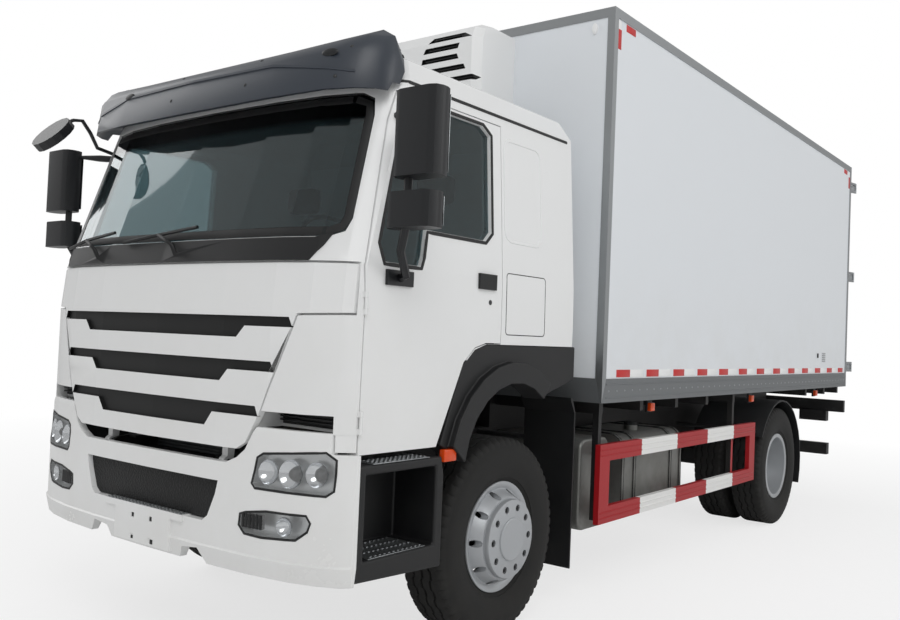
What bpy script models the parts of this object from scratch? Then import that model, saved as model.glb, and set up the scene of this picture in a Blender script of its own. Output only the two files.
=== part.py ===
"""A two-axle box truck with a tilting sleeper cab, an insulated box and a nose-mounted cooling unit.

Metres, +Z up. The truck faces -Y and its left side is +X. Inside the script, y is measured from the
front axle and z from the ground; the empty at the top of the tree moves the whole truck so that its
origin is under the middle of its overall length.
"""
import bpy
import bmesh
from math import cos, sin, pi, radians
from mathutils import Matrix, Vector

# Clearances
FIT = 0.0003            # between pieces that touch
SHUT = 0.006            # round a door or a lid that swings
LAP = 0.002             # how far fused members run into each other

# Wheels and axles
WHEELBASE = 4.47
TYRE_RADIUS = 0.54
TYRE_WIDTH = 0.29
RIM_RADIUS = 0.292
FRONT_TRACK = 2.02
REAR_TRACK = 1.83
TWIN_SPACING = 0.34
TYRE_SIDES = 28
RIM_SIDES = 16
KINGPIN_X = 0.80
STEER_ARM = 0.22
AXLE_DROP = 0.10
AXLE_BEAM = 0.10
KNUCKLE_ARM = 0.04
KNUCKLE_FORK = 0.06      # from the kingpin to the beam's end face
REAR_AXLE_TUBE = 0.075
DIFF_RADIUS = 0.22
PINION = 0.34            # from the rear axle forward to the pinion flange
BRAKE_RADIUS = 0.205
HUB_RADIUS = 0.075
HUB_COVER = 0.2125
HUB_MIDDLE = 0.115
HUB_STEP = 0.012
REAR_HUB = 0.12
REAR_HUB_IN = REAR_TRACK / 2 - 0.085
REAR_HUB_OUT = REAR_TRACK / 2 + 0.12
REAR_BRAKE = REAR_TRACK / 2 - 0.21
HAND_HOLES = 10
HAND_HOLE_RING = 0.241
HAND_HOLE_RADIUS = 0.02
HUB_BACK = 0.02
HUB_PROUD = 0.035
DISC = 0.012
TRACK_ROD = 0.018
DISH = 0.15             # from a wheel's middle to the face that bolts to the hub
BEAD_LAP = 0.012
RIM_HALF = 0.106
RIM_LIP = 0.010
RIM_FLANGE = 0.298
RIM_PLATE = 0.016
SPRING_X = 0.39
SPRING_WIDTH = 0.07
EYE_RADIUS = 0.028
EYE_SIDES = 8
LEAF = 0.012
FRONT_SEAT = 0.585      # top of the longest leaf over the axle
FRONT_EYE = 0.735
REAR_SEAT = 0.715
REAR_EYE = 0.735
FRONT_SPRING_HALF = 0.80
REAR_SPRING_HALF = 0.72

# Chassis frame
RAIL_X = 0.43           # outer face of a side member
RAIL_FLANGE = 0.08
RAIL_PLATE = 0.012
RAIL_BOTTOM = 0.78
RAIL_TOP = 1.02
RAIL_FRONT = -1.30
RAIL_REAR = 6.52
MEMBER_DEPTH = 0.12

# Cab
CAB_REAR = 0.62
CAB_BOTTOM = 1.17
CORNER_BOTTOM = 1.25     # lower edge of the corner skins, clear of the lamp pods as the cab tilts
CORNER_IN = 0.74
CORNER_BACK = -1.25
PILLAR_BOTTOM = 1.095
CAB_DECK = 1.50         # underside of the cab floor over the engine and wheels
CAB_WALL = 0.045
DOOR_THICK = 0.060
DOOR_FRONT = -1.235
DOOR_REAR = -0.185
DOOR_SILL = 1.082
BELT = 2.116
PANEL_THICK = 0.035
PANEL_LIP = 0.024        # its thickness along the lower edge, which swings past the bumper
PANEL_GAP = 0.010
PANEL_REAR = DOOR_FRONT - 0.012
GLASS = 0.006
TILT_Y = -1.36
TILT_Z = 0.98
TILT_PIN = 0.018
LUG_X = 0.46
LUG_THICK = 0.04

CAB_MOUNT_Y = 0.42
CLADDING_IN = 1.10
SEAT_BASE = CAB_DECK + CAB_WALL + FIT
WHEEL_X = 0.56          # driver's seat and steering wheel
DOOR_AXIS_X = 1.2215
DOOR_AXIS_Y = -1.2395
DOOR_KNUCKLE = 0.008
DOOR_HINGES = (1.20, 1.72)
DOOR_HINGE_HIGH = 0.05
MIRROR_X = 1.436
MIRROR_Y = -1.175
# Slots of the front panel: top, half width at the top, half width at the notch, depth at the end, depth inside
SLOTS = ((1.672, 0.915, 0.66, 0.045, 0.098), (1.470, 0.830, 0.565, 0.045, 0.100), (1.268, 0.750, 0.475, 0.045, 0.110))

# Front bumper and steps
BUMPER_HALF = 1.235
BUMPER_BOTTOM = 0.52
BUMPER_TOP = 1.085       # at its ends, which the doors swing over when the cab tilts
BUMPER_MIDDLE_TOP = 1.0
POD_TOP = 1.175          # over the headlamps
POD_HALF = 1.138
BUMPER_WALL = 0.05
BUMPER_PAD = 0.63
PLATE_Y = -1.480         # face of the flat place for a number plate
STEP_FRONT = -1.238
STEP_REAR = -0.64
STEP_TOP = 1.038
STEP_IN = 0.93
STEP_OUT = 1.225

# Box body
BOX_FRONT = 0.843
BOX_LENGTH = 5.753
BOX_WIDTH = 2.55
BOX_BOTTOM = 1.244
BOX_HEIGHT = 2.465
BOX_WALL = 0.08
EDGE_PLATE = 0.005
BOTTOM_RAIL = 0.15
TOP_RAIL = 0.06
POST_WIDTH = 0.05
BOX_DOOR = 0.08
MEET_GAP = 0.016         # between the two leaves, which a seal covers
LOCK_ROD = 0.013
SILL_HEIGHT = 0.15
BEARER_WIDTH = 0.05

BEARER_BOTTOM = BOX_BOTTOM - 0.075

# Cooling unit
UNIT_HALF = 0.53
UNIT_FRONT = 0.43
UNIT_TOP = BOX_BOTTOM + BOX_HEIGHT - 0.069
UNIT_BOTTOM = UNIT_TOP - 0.49
LOUVRE_HEIGHT = 0.034
LOUVRE_DEPTH = 0.025
# Louvres: drop from the unit's top, inner and outer edge at the slot's top, the same at its foot
LOUVRES = ((0.063, 0.157, 0.408, 0.119, 0.393), (0.128, 0.100, 0.380, 0.080, 0.367),
           (0.196, 0.075, 0.361, 0.067, 0.376), (0.270, 0.090, 0.418, 0.130, 0.436),
           (0.346, 0.200, 0.488, 0.250, 0.505))

# Tanks, guards
TANK_FRONT = 1.488
TANK_LENGTH = 0.99
TANK_IN = 0.50
TANK_OUT = 1.10
TANK_BOTTOM = 0.45
TANK_TOP = 0.99
BATTERY_OUT = 0.98
BATTERY_TOP = 0.90
GUARD_X = 1.24
GUARD_FRONT = 0.92
GUARD_LENGTH = 2.825
GUARD_BOTTOM = 0.485
GUARD_TOP = 0.98
GUARD_RAIL = 0.105
GUARD_DEPTH = 0.035
CANISTER_FRONT = 0.92
CANISTER_REAR = 1.30
CANISTER_BOTTOM = 0.42
MUDGUARD_RADIUS = 0.615
FLAP_Y = 0.72

BOX_REAR = BOX_FRONT + BOX_LENGTH
BOX_TOP = BOX_BOTTOM + BOX_HEIGHT
BOX_HALF = BOX_WIDTH / 2
REAR_DOOR_IN = BOX_REAR + SHUT
REAR_DOOR_OUT = REAR_DOOR_IN + BOX_DOOR
REAR_HINGE_Y = REAR_DOOR_OUT + 0.04
REAR_HINGE_X = BOX_HALF + 0.015
REAR_HINGE_R = 0.012
REAR_HINGE_SIDES = 6
WHEEL_Z = TYRE_RADIUS * cos(pi / TYRE_SIDES)
FRONT_TIP = -1.557371    # foremost point of the truck, on the rim of the round mirror
ROUND_MIRROR_R = 0.125
ROUND_MIRROR_BACK = 0.02
ROUND_MIRROR_SIDES = 16
ROUND_MIRROR_LEAN = radians(49)
ROUND_MIRROR = (-1.08, FRONT_TIP + ROUND_MIRROR_R * cos(pi / ROUND_MIRROR_SIDES) * cos(ROUND_MIRROR_LEAN)
                + ROUND_MIRROR_BACK * sin(ROUND_MIRROR_LEAN), 2.683)
REAR_TIP = REAR_HINGE_Y + REAR_HINGE_R * cos(pi / REAR_HINGE_SIDES)
AXLE_TO_MIDDLE = -(FRONT_TIP + REAR_TIP) / 2


def clear_scene():
    for item in list(bpy.data.objects):
        bpy.data.objects.remove(item, do_unlink=True)


# Making and joining solids

def solid(verts, faces):
    """A closed mesh object with its faces pointing out."""
    mesh = bpy.data.meshes.new("solid")
    mesh.from_pydata([tuple(v) for v in verts], [], faces)
    bm = bmesh.new()
    bm.from_mesh(mesh)
    bmesh.ops.remove_doubles(bm, verts=bm.verts, dist=1e-6)
    bmesh.ops.recalc_face_normals(bm, faces=bm.faces)
    bm.to_mesh(mesh)
    bm.free()
    made = bpy.data.objects.new("solid", mesh)
    bpy.context.scene.collection.objects.link(made)
    return made


def loft(rings, split=False):
    """Closed rings of equal point counts, skinned one to the next and capped at both ends.

    With split, each skin face is cut along a diagonal, the same way on both sides of the truck.
    """
    count = len(rings[0])
    verts = [point for ring in rings for point in ring]
    faces = [tuple(range(count)), tuple(range(count * (len(rings) - 1), count * len(rings)))]
    for level in range(len(rings) - 1):
        low = level * count
        for i in range(count):
            j = (i + 1) % count
            quad = (low + i, low + j, low + count + j, low + count + i)
            if not split:
                faces.append(quad)
            elif i < count // 2:
                faces += [(quad[0], quad[1], quad[2]), (quad[0], quad[2], quad[3])]
            else:
                faces += [(quad[0], quad[1], quad[3]), (quad[1], quad[2], quad[3])]
    return solid(verts, faces)


def on_axis(axis, along, u, v):
    """The point at a place along an axis; u and v are the other two coordinates in x, y, z order."""
    return {"x": (along, u, v), "y": (u, along, v), "z": (u, v, along)}[axis]


def prism(axis, outline, low, high):
    return loft([[on_axis(axis, end, u, v) for u, v in outline] for end in (low, high)])


def block(x, y, z):
    return prism("z", [(x[0], y[0]), (x[1], y[0]), (x[1], y[1]), (x[0], y[1])], z[0], z[1])


def lathe(profile, centre, sides, axis="x"):
    """A closed profile of (radius, along) points turned about an axis through centre."""
    rings = []
    for i in range(sides):
        turn = 2 * pi * (i + 0.5) / sides
        rings.append([Vector(on_axis(axis, along, radius * sin(turn), -radius * cos(turn))) + Vector(centre)
                      for radius, along in profile])
    count = len(profile)
    verts = [point for ring in rings for point in ring]
    faces = []
    for i in range(sides):
        here = i * count
        there = (i + 1) % sides * count
        for k in range(count):
            m = (k + 1) % count
            if profile[k][0] or profile[m][0]:
                faces.append((here + k, here + m, there + m, there + k))
    return solid(verts, faces)


def drum(centre, radius, low, high, sides=16, axis="x"):
    """A plain cylinder along an axis."""
    ring = [(radius * sin(2 * pi * (i + 0.5) / sides), -radius * cos(2 * pi * (i + 0.5) / sides))
            for i in range(sides)]
    made = prism(axis, ring, low, high)
    shift(made, centre)
    return made


def rod(start, end, radius, sides=8):
    """A straight round bar between two points."""
    start, end = Vector(start), Vector(end)
    turn = Vector((0, 0, 1)).rotation_difference(end - start).to_matrix()
    rings = []
    for point in (start, end):
        rings.append([point + turn @ Vector((radius * cos(2 * pi * i / sides),
                                             radius * sin(2 * pi * i / sides), 0)) for i in range(sides)])
    return loft(rings)


def pipe(points, radius, sides=8):
    """A round bar bent along points, its joints mitred."""
    points = [Vector(p) for p in points]
    rings = []
    for i, point in enumerate(points):
        before = points[max(i - 1, 0)]
        after = points[min(i + 1, len(points) - 1)]
        turn = Vector((0, 0, 1)).rotation_difference(after - before).to_matrix()
        rings.append([point + turn @ Vector((radius * cos(2 * pi * k / sides),
                                             radius * sin(2 * pi * k / sides), 0)) for k in range(sides)])
    return loft(rings)


def shift(made, step):
    made.data.transform(Matrix.Translation(step))
    return made


def boolean(target, tool, operation):
    change = target.modifiers.new("cut", "BOOLEAN")
    change.operation = operation
    change.object = tool
    graph = bpy.context.evaluated_depsgraph_get()
    result = bpy.data.meshes.new_from_object(target.evaluated_get(graph))
    target.modifiers.clear()
    target.data = result
    bpy.data.objects.remove(tool, do_unlink=True)
    return target


def fuse(*pieces):
    target = pieces[0]
    for piece in pieces[1:]:
        boolean(target, piece, "UNION")
    return target


def carve(target, *tools):
    for tool in tools:
        boolean(target, tool, "DIFFERENCE")
    return target


def keep(target, tool):
    return boolean(target, tool, "INTERSECT")


def reflect(made):
    """The same solid on the other side of the truck."""
    mesh = made.data.copy()
    mesh.transform(Matrix.Diagonal((-1, 1, 1, 1)))
    mesh.flip_normals()
    twin = bpy.data.objects.new(made.name, mesh)
    bpy.context.scene.collection.objects.link(twin)
    return twin


def offset(outline, distance):
    """A closed outline moved out by distance, its corners mitred; negative moves it in."""
    area = sum(a[0] * b[1] - b[0] * a[1] for a, b in zip(outline, outline[1:] + outline[:1]))
    sign = 1 if area > 0 else -1
    count = len(outline)
    moved = []
    for i, point in enumerate(outline):
        here = Vector(point)
        first = (here - Vector(outline[i - 1])).normalized()
        second = (Vector(outline[(i + 1) % count]) - here).normalized()
        n1 = Vector((first.y, -first.x)) * sign
        n2 = Vector((second.y, -second.x)) * sign
        mid = (n1 + n2).normalized()
        moved.append(tuple(here + mid * (distance / max(mid.dot(n1), 0.3))))
    return moved


def arc(centre, radius, start, end, steps):
    """Points along a round stretch, angles in degrees from the first axis towards the second."""
    return [(centre[0] + radius * cos(radians(start + (end - start) * i / steps)),
             centre[1] + radius * sin(radians(start + (end - start) * i / steps))) for i in range(steps + 1)]


def rounded(u, v, radius, steps=3):
    """A rectangle outline with round corners."""
    points = []
    corners = ((u[1] - radius, v[0] + radius, -90), (u[1] - radius, v[1] - radius, 0),
               (u[0] + radius, v[1] - radius, 90), (u[0] + radius, v[0] + radius, 180))
    for cu, cv, start in corners:
        points += arc((cu, cv), radius, start, start + 90, steps)
    return points


# Materials and the tree of axes

def material(name, colour, roughness, metallic=0.0):
    made = bpy.data.materials.new(name)
    made.use_nodes = True
    shader = made.node_tree.nodes["Principled BSDF"]
    shader.inputs["Base Color"].default_value = (*colour, 1)
    shader.inputs["Roughness"].default_value = roughness
    shader.inputs["Metallic"].default_value = metallic
    made.diffuse_color = (*colour, 1)
    return made


def axis_point(name, place, parent=None):
    """An empty on a joint's axis, its place given in the truck's own measure."""
    empty = bpy.data.objects.new(name, None)
    bpy.context.scene.collection.objects.link(empty)
    empty["place"] = place
    if parent is None:
        empty.location = place
    else:
        empty.parent = parent
        empty.location = Vector(place) - Vector(parent["place"])
    return empty


def finish(made, name, surface, parent, smooth=False):
    """Names a piece, gives it its material and hangs it on its axis."""
    made.name = name
    made.data.name = name
    made.data.materials.clear()
    made.data.materials.append(surface)
    if smooth:
        made.data.shade_smooth()
        made.data.set_sharp_from_angle(angle=radians(35))
    made.parent = parent
    made.location = -Vector(parent["place"])
    return made


def pair(made, name, surface, parents, smooth=False):
    """The left piece and its right-hand twin, each on its own axis."""
    twin = reflect(made)
    finish(made, name + "_left", surface, parents[0], smooth)
    finish(twin, name + "_right", surface, parents[1], smooth)


# Wheels

def tyre(x):
    """A radial truck tyre: flat tread, round shoulders, bulged walls and beads at the rim."""
    half = TYRE_WIDTH / 2
    bead = RIM_RADIUS - BEAD_LAP
    walls = [(bead, half * 0.62), (TYRE_RADIUS - 0.14, half), (TYRE_RADIUS - 0.03, half * 0.90),
             (TYRE_RADIUS, half * 0.72)]
    profile = walls + [(radius, -along) for radius, along in reversed(walls)]
    return lathe(profile, (x, 0, WHEEL_Z), TYRE_SIDES)


def rim_path(x, facing):
    """A disc wheel's section from the back of its disc round the barrel to the disc's face."""
    seat = (RIM_RADIUS - BEAD_LAP) * cos(pi / TYRE_SIDES) - FIT
    inside = seat - RIM_PLATE
    edge = RIM_HALF
    lip = RIM_HALF + RIM_LIP
    path = [(0.205, DISH), (inside, edge - 0.061), (inside, -lip), (RIM_FLANGE, -lip), (RIM_FLANGE, -edge),
            (seat, -edge), (seat, edge), (RIM_FLANGE, edge), (RIM_FLANGE, lip), (inside, lip - 0.012),
            (0.225, DISH + DISC)]
    return [(radius, x + facing * along) for radius, along in path[::facing]]


def hand_holes(wheel, y, low, high):
    """The ring of round holes through a wheel's disc, where it slopes out to the barrel."""
    for i in range(HAND_HOLES):
        turn = 2 * pi * i / HAND_HOLES
        centre = (0, y + HAND_HOLE_RING * sin(turn), WHEEL_Z + HAND_HOLE_RING * cos(turn))
        carve(wheel, drum(centre, HAND_HOLE_RADIUS, low, high, 6))


def front_wheels(knuckles, rubber, steel):
    hub = FRONT_TRACK / 2
    axes = (axis_point("front_wheel_axis_left", (hub, 0, WHEEL_Z), knuckles[0]),
            axis_point("front_wheel_axis_right", (-hub, 0, WHEEL_Z), knuckles[1]))
    face = DISH + DISC
    section = [(0, -HUB_BACK), (HUB_RADIUS, -HUB_BACK), (HUB_RADIUS, DISH)] + rim_path(0, 1)
    cover = face + HUB_PROUD
    section += [(HUB_COVER, face), (HUB_COVER, cover), (HUB_MIDDLE, cover), (HUB_MIDDLE, cover + HUB_STEP),
                (0, cover + HUB_STEP)]
    wheel = lathe(section, (hub, 0, WHEEL_Z), RIM_SIDES)
    hand_holes(wheel, 0, hub + DISH / 3, hub + face)
    pair(tyre(hub), "front_tyre", rubber, axes, True)
    pair(wheel, "front_rim", steel, axes, True)


def rear_wheels(root, rubber, steel):
    """Twin wheels back to back on one hub, turned as one section."""
    centre = REAR_TRACK / 2
    outer = centre + TWIN_SPACING / 2
    inner = centre - TWIN_SPACING / 2
    axes = (axis_point("rear_wheel_axis_left", (centre, WHEELBASE, WHEEL_Z), root),
            axis_point("rear_wheel_axis_right", (-centre, WHEELBASE, WHEEL_Z), root))
    step = (0, WHEELBASE, 0)
    face = DISH + DISC
    section = [(0, REAR_HUB_IN), (REAR_HUB, REAR_HUB_IN), (REAR_HUB, inner + DISH)] + rim_path(inner, 1)
    section += [(REAR_HUB, inner + face), (REAR_HUB, outer - face)] + rim_path(outer, -1)
    section += [(REAR_HUB, outer - DISH), (REAR_HUB, REAR_HUB_OUT), (0, REAR_HUB_OUT)]
    wheels = lathe(section, (0, WHEELBASE, WHEEL_Z), RIM_SIDES)
    hand_holes(wheels, WHEELBASE, outer - face, outer - DISH / 3)
    pair(shift(tyre(outer), step), "rear_tyre_outer", rubber, axes, True)
    pair(shift(tyre(inner), step), "rear_tyre_inner", rubber, axes, True)
    pair(wheels, "rear_rims", steel, axes, True)


# Axles, knuckles and springs

def leaf_spring(x, y, half, seat, eye, leaves):
    """A pack of leaves, longest on top, cambered from its eyes down to its seat on the axle."""
    steps = 4
    top = []
    bottom = []
    for i in range(steps + 1):
        t = -1 + 2 * i / steps
        line = seat + (eye - seat) * t * t
        top.append((y + half * t, line))
        depth = LEAF * (1 + (leaves - 1) * (1 - abs(t)))
        bottom.append((y + half * t, line - depth))
    pack = prism("x", top + bottom[::-1], x - SPRING_WIDTH / 2, x + SPRING_WIDTH / 2)
    for end in (-1, 1):
        fuse(pack, drum((x, y + half * end, eye - LEAF / 2), EYE_RADIUS, -SPRING_WIDTH / 2, SPRING_WIDTH / 2,
                        EYE_SIDES))
    return pack


def front_axle(root, steel):
    """The forged beam, cranked down between the springs, with its springs and their clamps."""
    eye = KINGPIN_X - KNUCKLE_FORK
    low = WHEEL_Z - AXLE_DROP
    half = [(SPRING_X + 0.07, low - 0.05), (eye - 0.10, WHEEL_Z - 0.05), (eye - 0.04, WHEEL_Z - 0.04),
            (eye, WHEEL_Z - 0.04), (eye, WHEEL_Z + 0.04), (eye - 0.04, WHEEL_Z + 0.04),
            (eye - 0.10, WHEEL_Z + 0.05), (SPRING_X + 0.07, low + 0.05)]
    outline = half + [(-x, z) for x, z in reversed(half)]
    beam = prism("y", outline, -AXLE_BEAM / 2, AXLE_BEAM / 2)
    for side in (-1, 1):
        spring = leaf_spring(side * SPRING_X, 0, FRONT_SPRING_HALF, FRONT_SEAT, FRONT_EYE, 7)
        clamp = block((side * SPRING_X - 0.06, side * SPRING_X + 0.06), (-0.09, 0.09),
                      (low, FRONT_SEAT + 0.025))
        fuse(beam, spring, clamp)
    finish(beam, "front_axle", steel, root)


def rear_axle(root, steel):
    """The driving axle: tube, final drive bowl, brake drums and springs."""
    tube = drum((0, WHEELBASE, WHEEL_Z), REAR_AXLE_TUBE, -REAR_HUB_IN + FIT, REAR_HUB_IN - FIT, 12)
    bowl = drum((0, WHEELBASE, WHEEL_Z), DIFF_RADIUS, -0.13, 0.13, 14)
    nose = drum((0, 0, WHEEL_Z), 0.09, WHEELBASE - PINION, WHEELBASE - 0.10, 10, "y")
    fuse(tube, bowl, nose)
    for side in (-1, 1):
        brake = drum((side * REAR_BRAKE, WHEELBASE, WHEEL_Z), BRAKE_RADIUS, -0.065, 0.065, 14)
        spring = leaf_spring(side * SPRING_X, WHEELBASE, REAR_SPRING_HALF, REAR_SEAT, REAR_EYE, 9)
        clamp = block((side * SPRING_X - 0.06, side * SPRING_X + 0.06), (WHEELBASE - 0.10, WHEELBASE + 0.10),
                      (WHEEL_Z, REAR_SEAT + 0.022))
        fuse(tube, brake, spring, clamp)
    finish(tube, "rear_axle", steel, root)


def knuckle(steer, steel):
    """Steering knuckles on their kingpins, with brake, stub and the arm for the track rod."""
    hub = FRONT_TRACK / 2
    eye = KINGPIN_X - KNUCKLE_FORK
    upright = drum((KINGPIN_X, 0, 0), 0.045, WHEEL_Z - 0.11, WHEEL_Z + 0.11, 10, "z")
    reach = 0.04 + FIT + KNUCKLE_ARM / 2
    for z in (WHEEL_Z + reach, WHEEL_Z - reach):
        fuse(upright, block((eye - 0.02, KINGPIN_X), (-0.04, 0.04), (z - KNUCKLE_ARM / 2, z + KNUCKLE_ARM / 2)))
    brake = drum((hub, 0, WHEEL_Z), BRAKE_RADIUS, -0.145, -0.03, 14)
    stub = drum((hub, 0, WHEEL_Z), 0.04, KINGPIN_X - hub, -HUB_BACK - FIT, 8)
    arm = prism("z", [(KINGPIN_X - 0.025, 0), (KINGPIN_X + 0.025, 0), (KINGPIN_X + 0.025, STEER_ARM + 0.03),
                      (KINGPIN_X - 0.025, STEER_ARM + 0.03)], WHEEL_Z - 0.13, WHEEL_Z - 0.10)
    fuse(upright, brake, stub, arm)
    pair(upright, "knuckle", steel, steer, True)


def track_rod(steer, steel):
    """The rod that joins the two steering arms, carried at the left arm's ball joint."""
    z = WHEEL_Z - 0.13 - FIT - TRACK_ROD
    joint = axis_point("track_rod_axis", (KINGPIN_X, STEER_ARM, z), steer[0])
    bar = rod((-KINGPIN_X, STEER_ARM, z), (KINGPIN_X, STEER_ARM, z), TRACK_ROD, 8)
    for side in (-1, 1):
        fuse(bar, drum((side * KINGPIN_X, STEER_ARM, 0), 0.032, z - 0.02, z + TRACK_ROD, 8, "z"))
    finish(bar, "track_rod", steel, joint, True)


# Chassis

def channel(side, y0, y1):
    """A pressed side member, its web outside and its flanges turned in."""
    web = RAIL_X
    inner = RAIL_X - RAIL_FLANGE
    outline = [(web, RAIL_BOTTOM), (web, RAIL_TOP), (inner, RAIL_TOP), (inner, RAIL_TOP - RAIL_PLATE),
               (web - RAIL_PLATE, RAIL_TOP - RAIL_PLATE), (web - RAIL_PLATE, RAIL_BOTTOM + RAIL_PLATE),
               (inner, RAIL_BOTTOM + RAIL_PLATE), (inner, RAIL_BOTTOM)]
    return prism("y", [(side * x, z) for x, z in outline], y0, y1)


def spring_hangers(frame, y, half, eye):
    for side in (-1, 1):
        for end in (-1, 1):
            place = y + half * end
            top = eye - LEAF / 2 + EYE_RADIUS * cos(pi / EYE_SIDES)
            fuse(frame, block((side * SPRING_X - 0.03, side * SPRING_X + 0.03), (place - 0.05, place + 0.05),
                              (top + FIT, RAIL_BOTTOM + RAIL_PLATE / 2)))


def chassis_frame(root, steel):
    """Two channel side members on cross members, with every bracket that the other pieces sit on."""
    frame = channel(-1, RAIL_FRONT, RAIL_REAR)
    web = RAIL_X - RAIL_PLATE / 2
    middle = (RAIL_BOTTOM + RAIL_TOP) / 2
    members = [RAIL_FRONT + 0.10, 1.35, 2.45, WHEELBASE - REAR_SPRING_HALF - 0.15,
               WHEELBASE + REAR_SPRING_HALF + 0.12, RAIL_REAR - 0.08]
    for y in members:
        fuse(frame, block((-web, web), (y - 0.03, y + 0.03), (middle - MEMBER_DEPTH / 2,
                                                             middle + MEMBER_DEPTH / 2)))
    fuse(frame, channel(1, RAIL_FRONT, RAIL_REAR))
    spring_hangers(frame, 0, FRONT_SPRING_HALF, FRONT_EYE)
    spring_hangers(frame, WHEELBASE, REAR_SPRING_HALF, REAR_EYE)
    for side in (-1, 1):
        fuse(frame, tilt_bracket(side), cab_mount(side))
        fuse(frame, tank_bracket(side, TANK_FRONT + 0.15), tank_bracket(side, TANK_FRONT + TANK_LENGTH - 0.15))
        fuse(frame, step_bracket(side))
    fuse(frame, bumper_beam(), rear_lamp_bar(), under_run_bar())
    finish(frame, "chassis_frame", steel, root)


def tilt_bracket(side):
    """Carries the pin that the cab tilts on, ahead of the side member."""
    plate = prism("x", [(RAIL_FRONT + 0.06, RAIL_BOTTOM), (RAIL_FRONT + 0.06, RAIL_TOP - LAP),
                        (TILT_Y + 0.02, TILT_Z + 0.035), (TILT_Y - 0.028, TILT_Z + 0.02),
                        (TILT_Y - 0.028, TILT_Z - 0.03), (RAIL_FRONT - 0.02, RAIL_BOTTOM)],
                  side * (RAIL_X - RAIL_PLATE), side * (RAIL_X + 0.01))
    pin = drum((0, TILT_Y, TILT_Z), TILT_PIN, side * (RAIL_X - LAP), side * (LUG_X + LUG_THICK + 0.004), 12)
    return fuse(plate, pin)


def bumper_beam():
    """The beam across the side members' front ends, with the two pads that carry the bumper."""
    beam = block((-0.66, 0.66), (RAIL_FRONT - 0.06, RAIL_FRONT + 0.01), (RAIL_BOTTOM + 0.01, RAIL_BOTTOM + 0.11))
    for side in (-1, 1):
        pad = block(sorted((side * 0.58, side * BUMPER_PAD)), (bumper_back(BUMPER_PAD) + FIT, RAIL_FRONT - 0.05),
                    (RAIL_BOTTOM + 0.02, RAIL_BOTTOM + 0.10))
        fuse(beam, pad)
    return beam


def cab_mount(side):
    """The rear post that the cab comes down on."""
    post = block(sorted((side * (RAIL_X - 0.07), side * (RAIL_X - LAP))), (CAB_MOUNT_Y, CAB_MOUNT_Y + 0.09),
                 (RAIL_TOP - RAIL_PLATE / 2, CAB_DECK - FIT))
    return post


def tank_bracket(side, y):
    arm = prism("y", [(side * (RAIL_X - RAIL_PLATE / 2), RAIL_TOP - 0.04),
                      (side * (TANK_IN - FIT), RAIL_TOP - 0.04), (side * (TANK_IN - FIT), TANK_BOTTOM - FIT),
                      (side * (TANK_OUT - 0.05), TANK_BOTTOM - FIT),
                      (side * (TANK_OUT - 0.05), TANK_BOTTOM - 0.03), (side * TANK_IN, TANK_BOTTOM - 0.06),
                      (side * (RAIL_X - RAIL_PLATE / 2), RAIL_BOTTOM + 0.02)], y - 0.03, y + 0.03)
    return arm


def step_bracket(side):
    return block(sorted((side * (RAIL_X - RAIL_PLATE / 2), side * (STEP_IN - FIT))), (-0.98, -0.90),
                 (RAIL_BOTTOM + 0.06, RAIL_BOTTOM + 0.14))


def rear_lamp_bar():
    """The cross bar behind the side members, with the tail lamps hung under its ends."""
    bar = block((-BOX_HALF, BOX_HALF), (RAIL_REAR - LAP, RAIL_REAR + 0.06), (0.955, 1.085))
    for side in (-1, 1):
        lamp = block(sorted((side * 0.81, side * 1.10)), (RAIL_REAR - 0.03, RAIL_REAR + 0.075), (0.845, 0.96))
        fuse(bar, lamp)
    return bar


def under_run_bar():
    """The bar that stops a car from running under, on two drop legs."""
    bar = block((-1.12, 1.12), (RAIL_REAR - 0.04, RAIL_REAR + 0.05), (0.475, 0.60))
    for side in (-1, 1):
        leg = block(sorted((side * (RAIL_X - 0.06), side * (RAIL_X - 0.003))), (RAIL_REAR - 0.09, RAIL_REAR + 0.01),
                    (0.50, RAIL_BOTTOM + 0.10))
        fuse(bar, leg)
    return bar


def engine(root, iron):
    """Engine, gearbox and propeller shaft as one plain mass at their real place."""
    mass = block((-0.33, 0.33), (-0.42, 0.72), (0.66, 1.38))
    sump = block((-0.20, 0.20), (0.28, 0.66), (0.50, 0.70))
    gearbox = prism("x", [(0.70, 0.72), (0.70, 1.10), (1.25, 1.00), (1.25, 0.74)], -0.20, 0.20)
    pinion = WHEELBASE - PINION
    shaft = pipe([(0, 1.20, 0.80), (0, pinion - 0.08, WHEEL_Z), (0, pinion - FIT, WHEEL_Z)], 0.045, 10)
    feet = block((-RAIL_X + RAIL_PLATE + FIT, RAIL_X - RAIL_PLATE - FIT), (0.10, 0.18), (0.84, 0.92))
    finish(fuse(mass, sump, gearbox, shaft, feet), "engine_block", iron, root)


def radiator(root, iron):
    """The cooling pack behind the front intake, on the first cross member."""
    y = RAIL_FRONT + 0.10 + 0.03
    core = block((-0.34, 0.34), (y + FIT, y + 0.10), (0.60, 1.13))
    finish(core, "radiator", iron, root)


def fuel_tank(root, alloy):
    """A rolled aluminium tank with deep round corners, its end beads, straps and filler cap on it."""
    outline = rounded((TANK_IN, TANK_OUT), (TANK_BOTTOM, TANK_TOP), 0.10, 4)
    tank = prism("y", outline, TANK_FRONT, TANK_FRONT + TANK_LENGTH)
    belted = rounded((TANK_IN, TANK_OUT + 0.006), (TANK_BOTTOM, TANK_TOP + 0.006), 0.103, 4)
    for y in (TANK_FRONT, TANK_FRONT + 0.18, TANK_FRONT + TANK_LENGTH - 0.21, TANK_FRONT + TANK_LENGTH - 0.03):
        fuse(tank, prism("y", belted, y, y + 0.03))
    cap = drum((TANK_OUT - 0.17, TANK_FRONT + 0.47, 0), 0.05, TANK_TOP - 0.01, TANK_TOP + 0.035, 14, "z")
    fuse(tank, cap)
    finish(tank, "fuel_tank", alloy, root, True)


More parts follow.
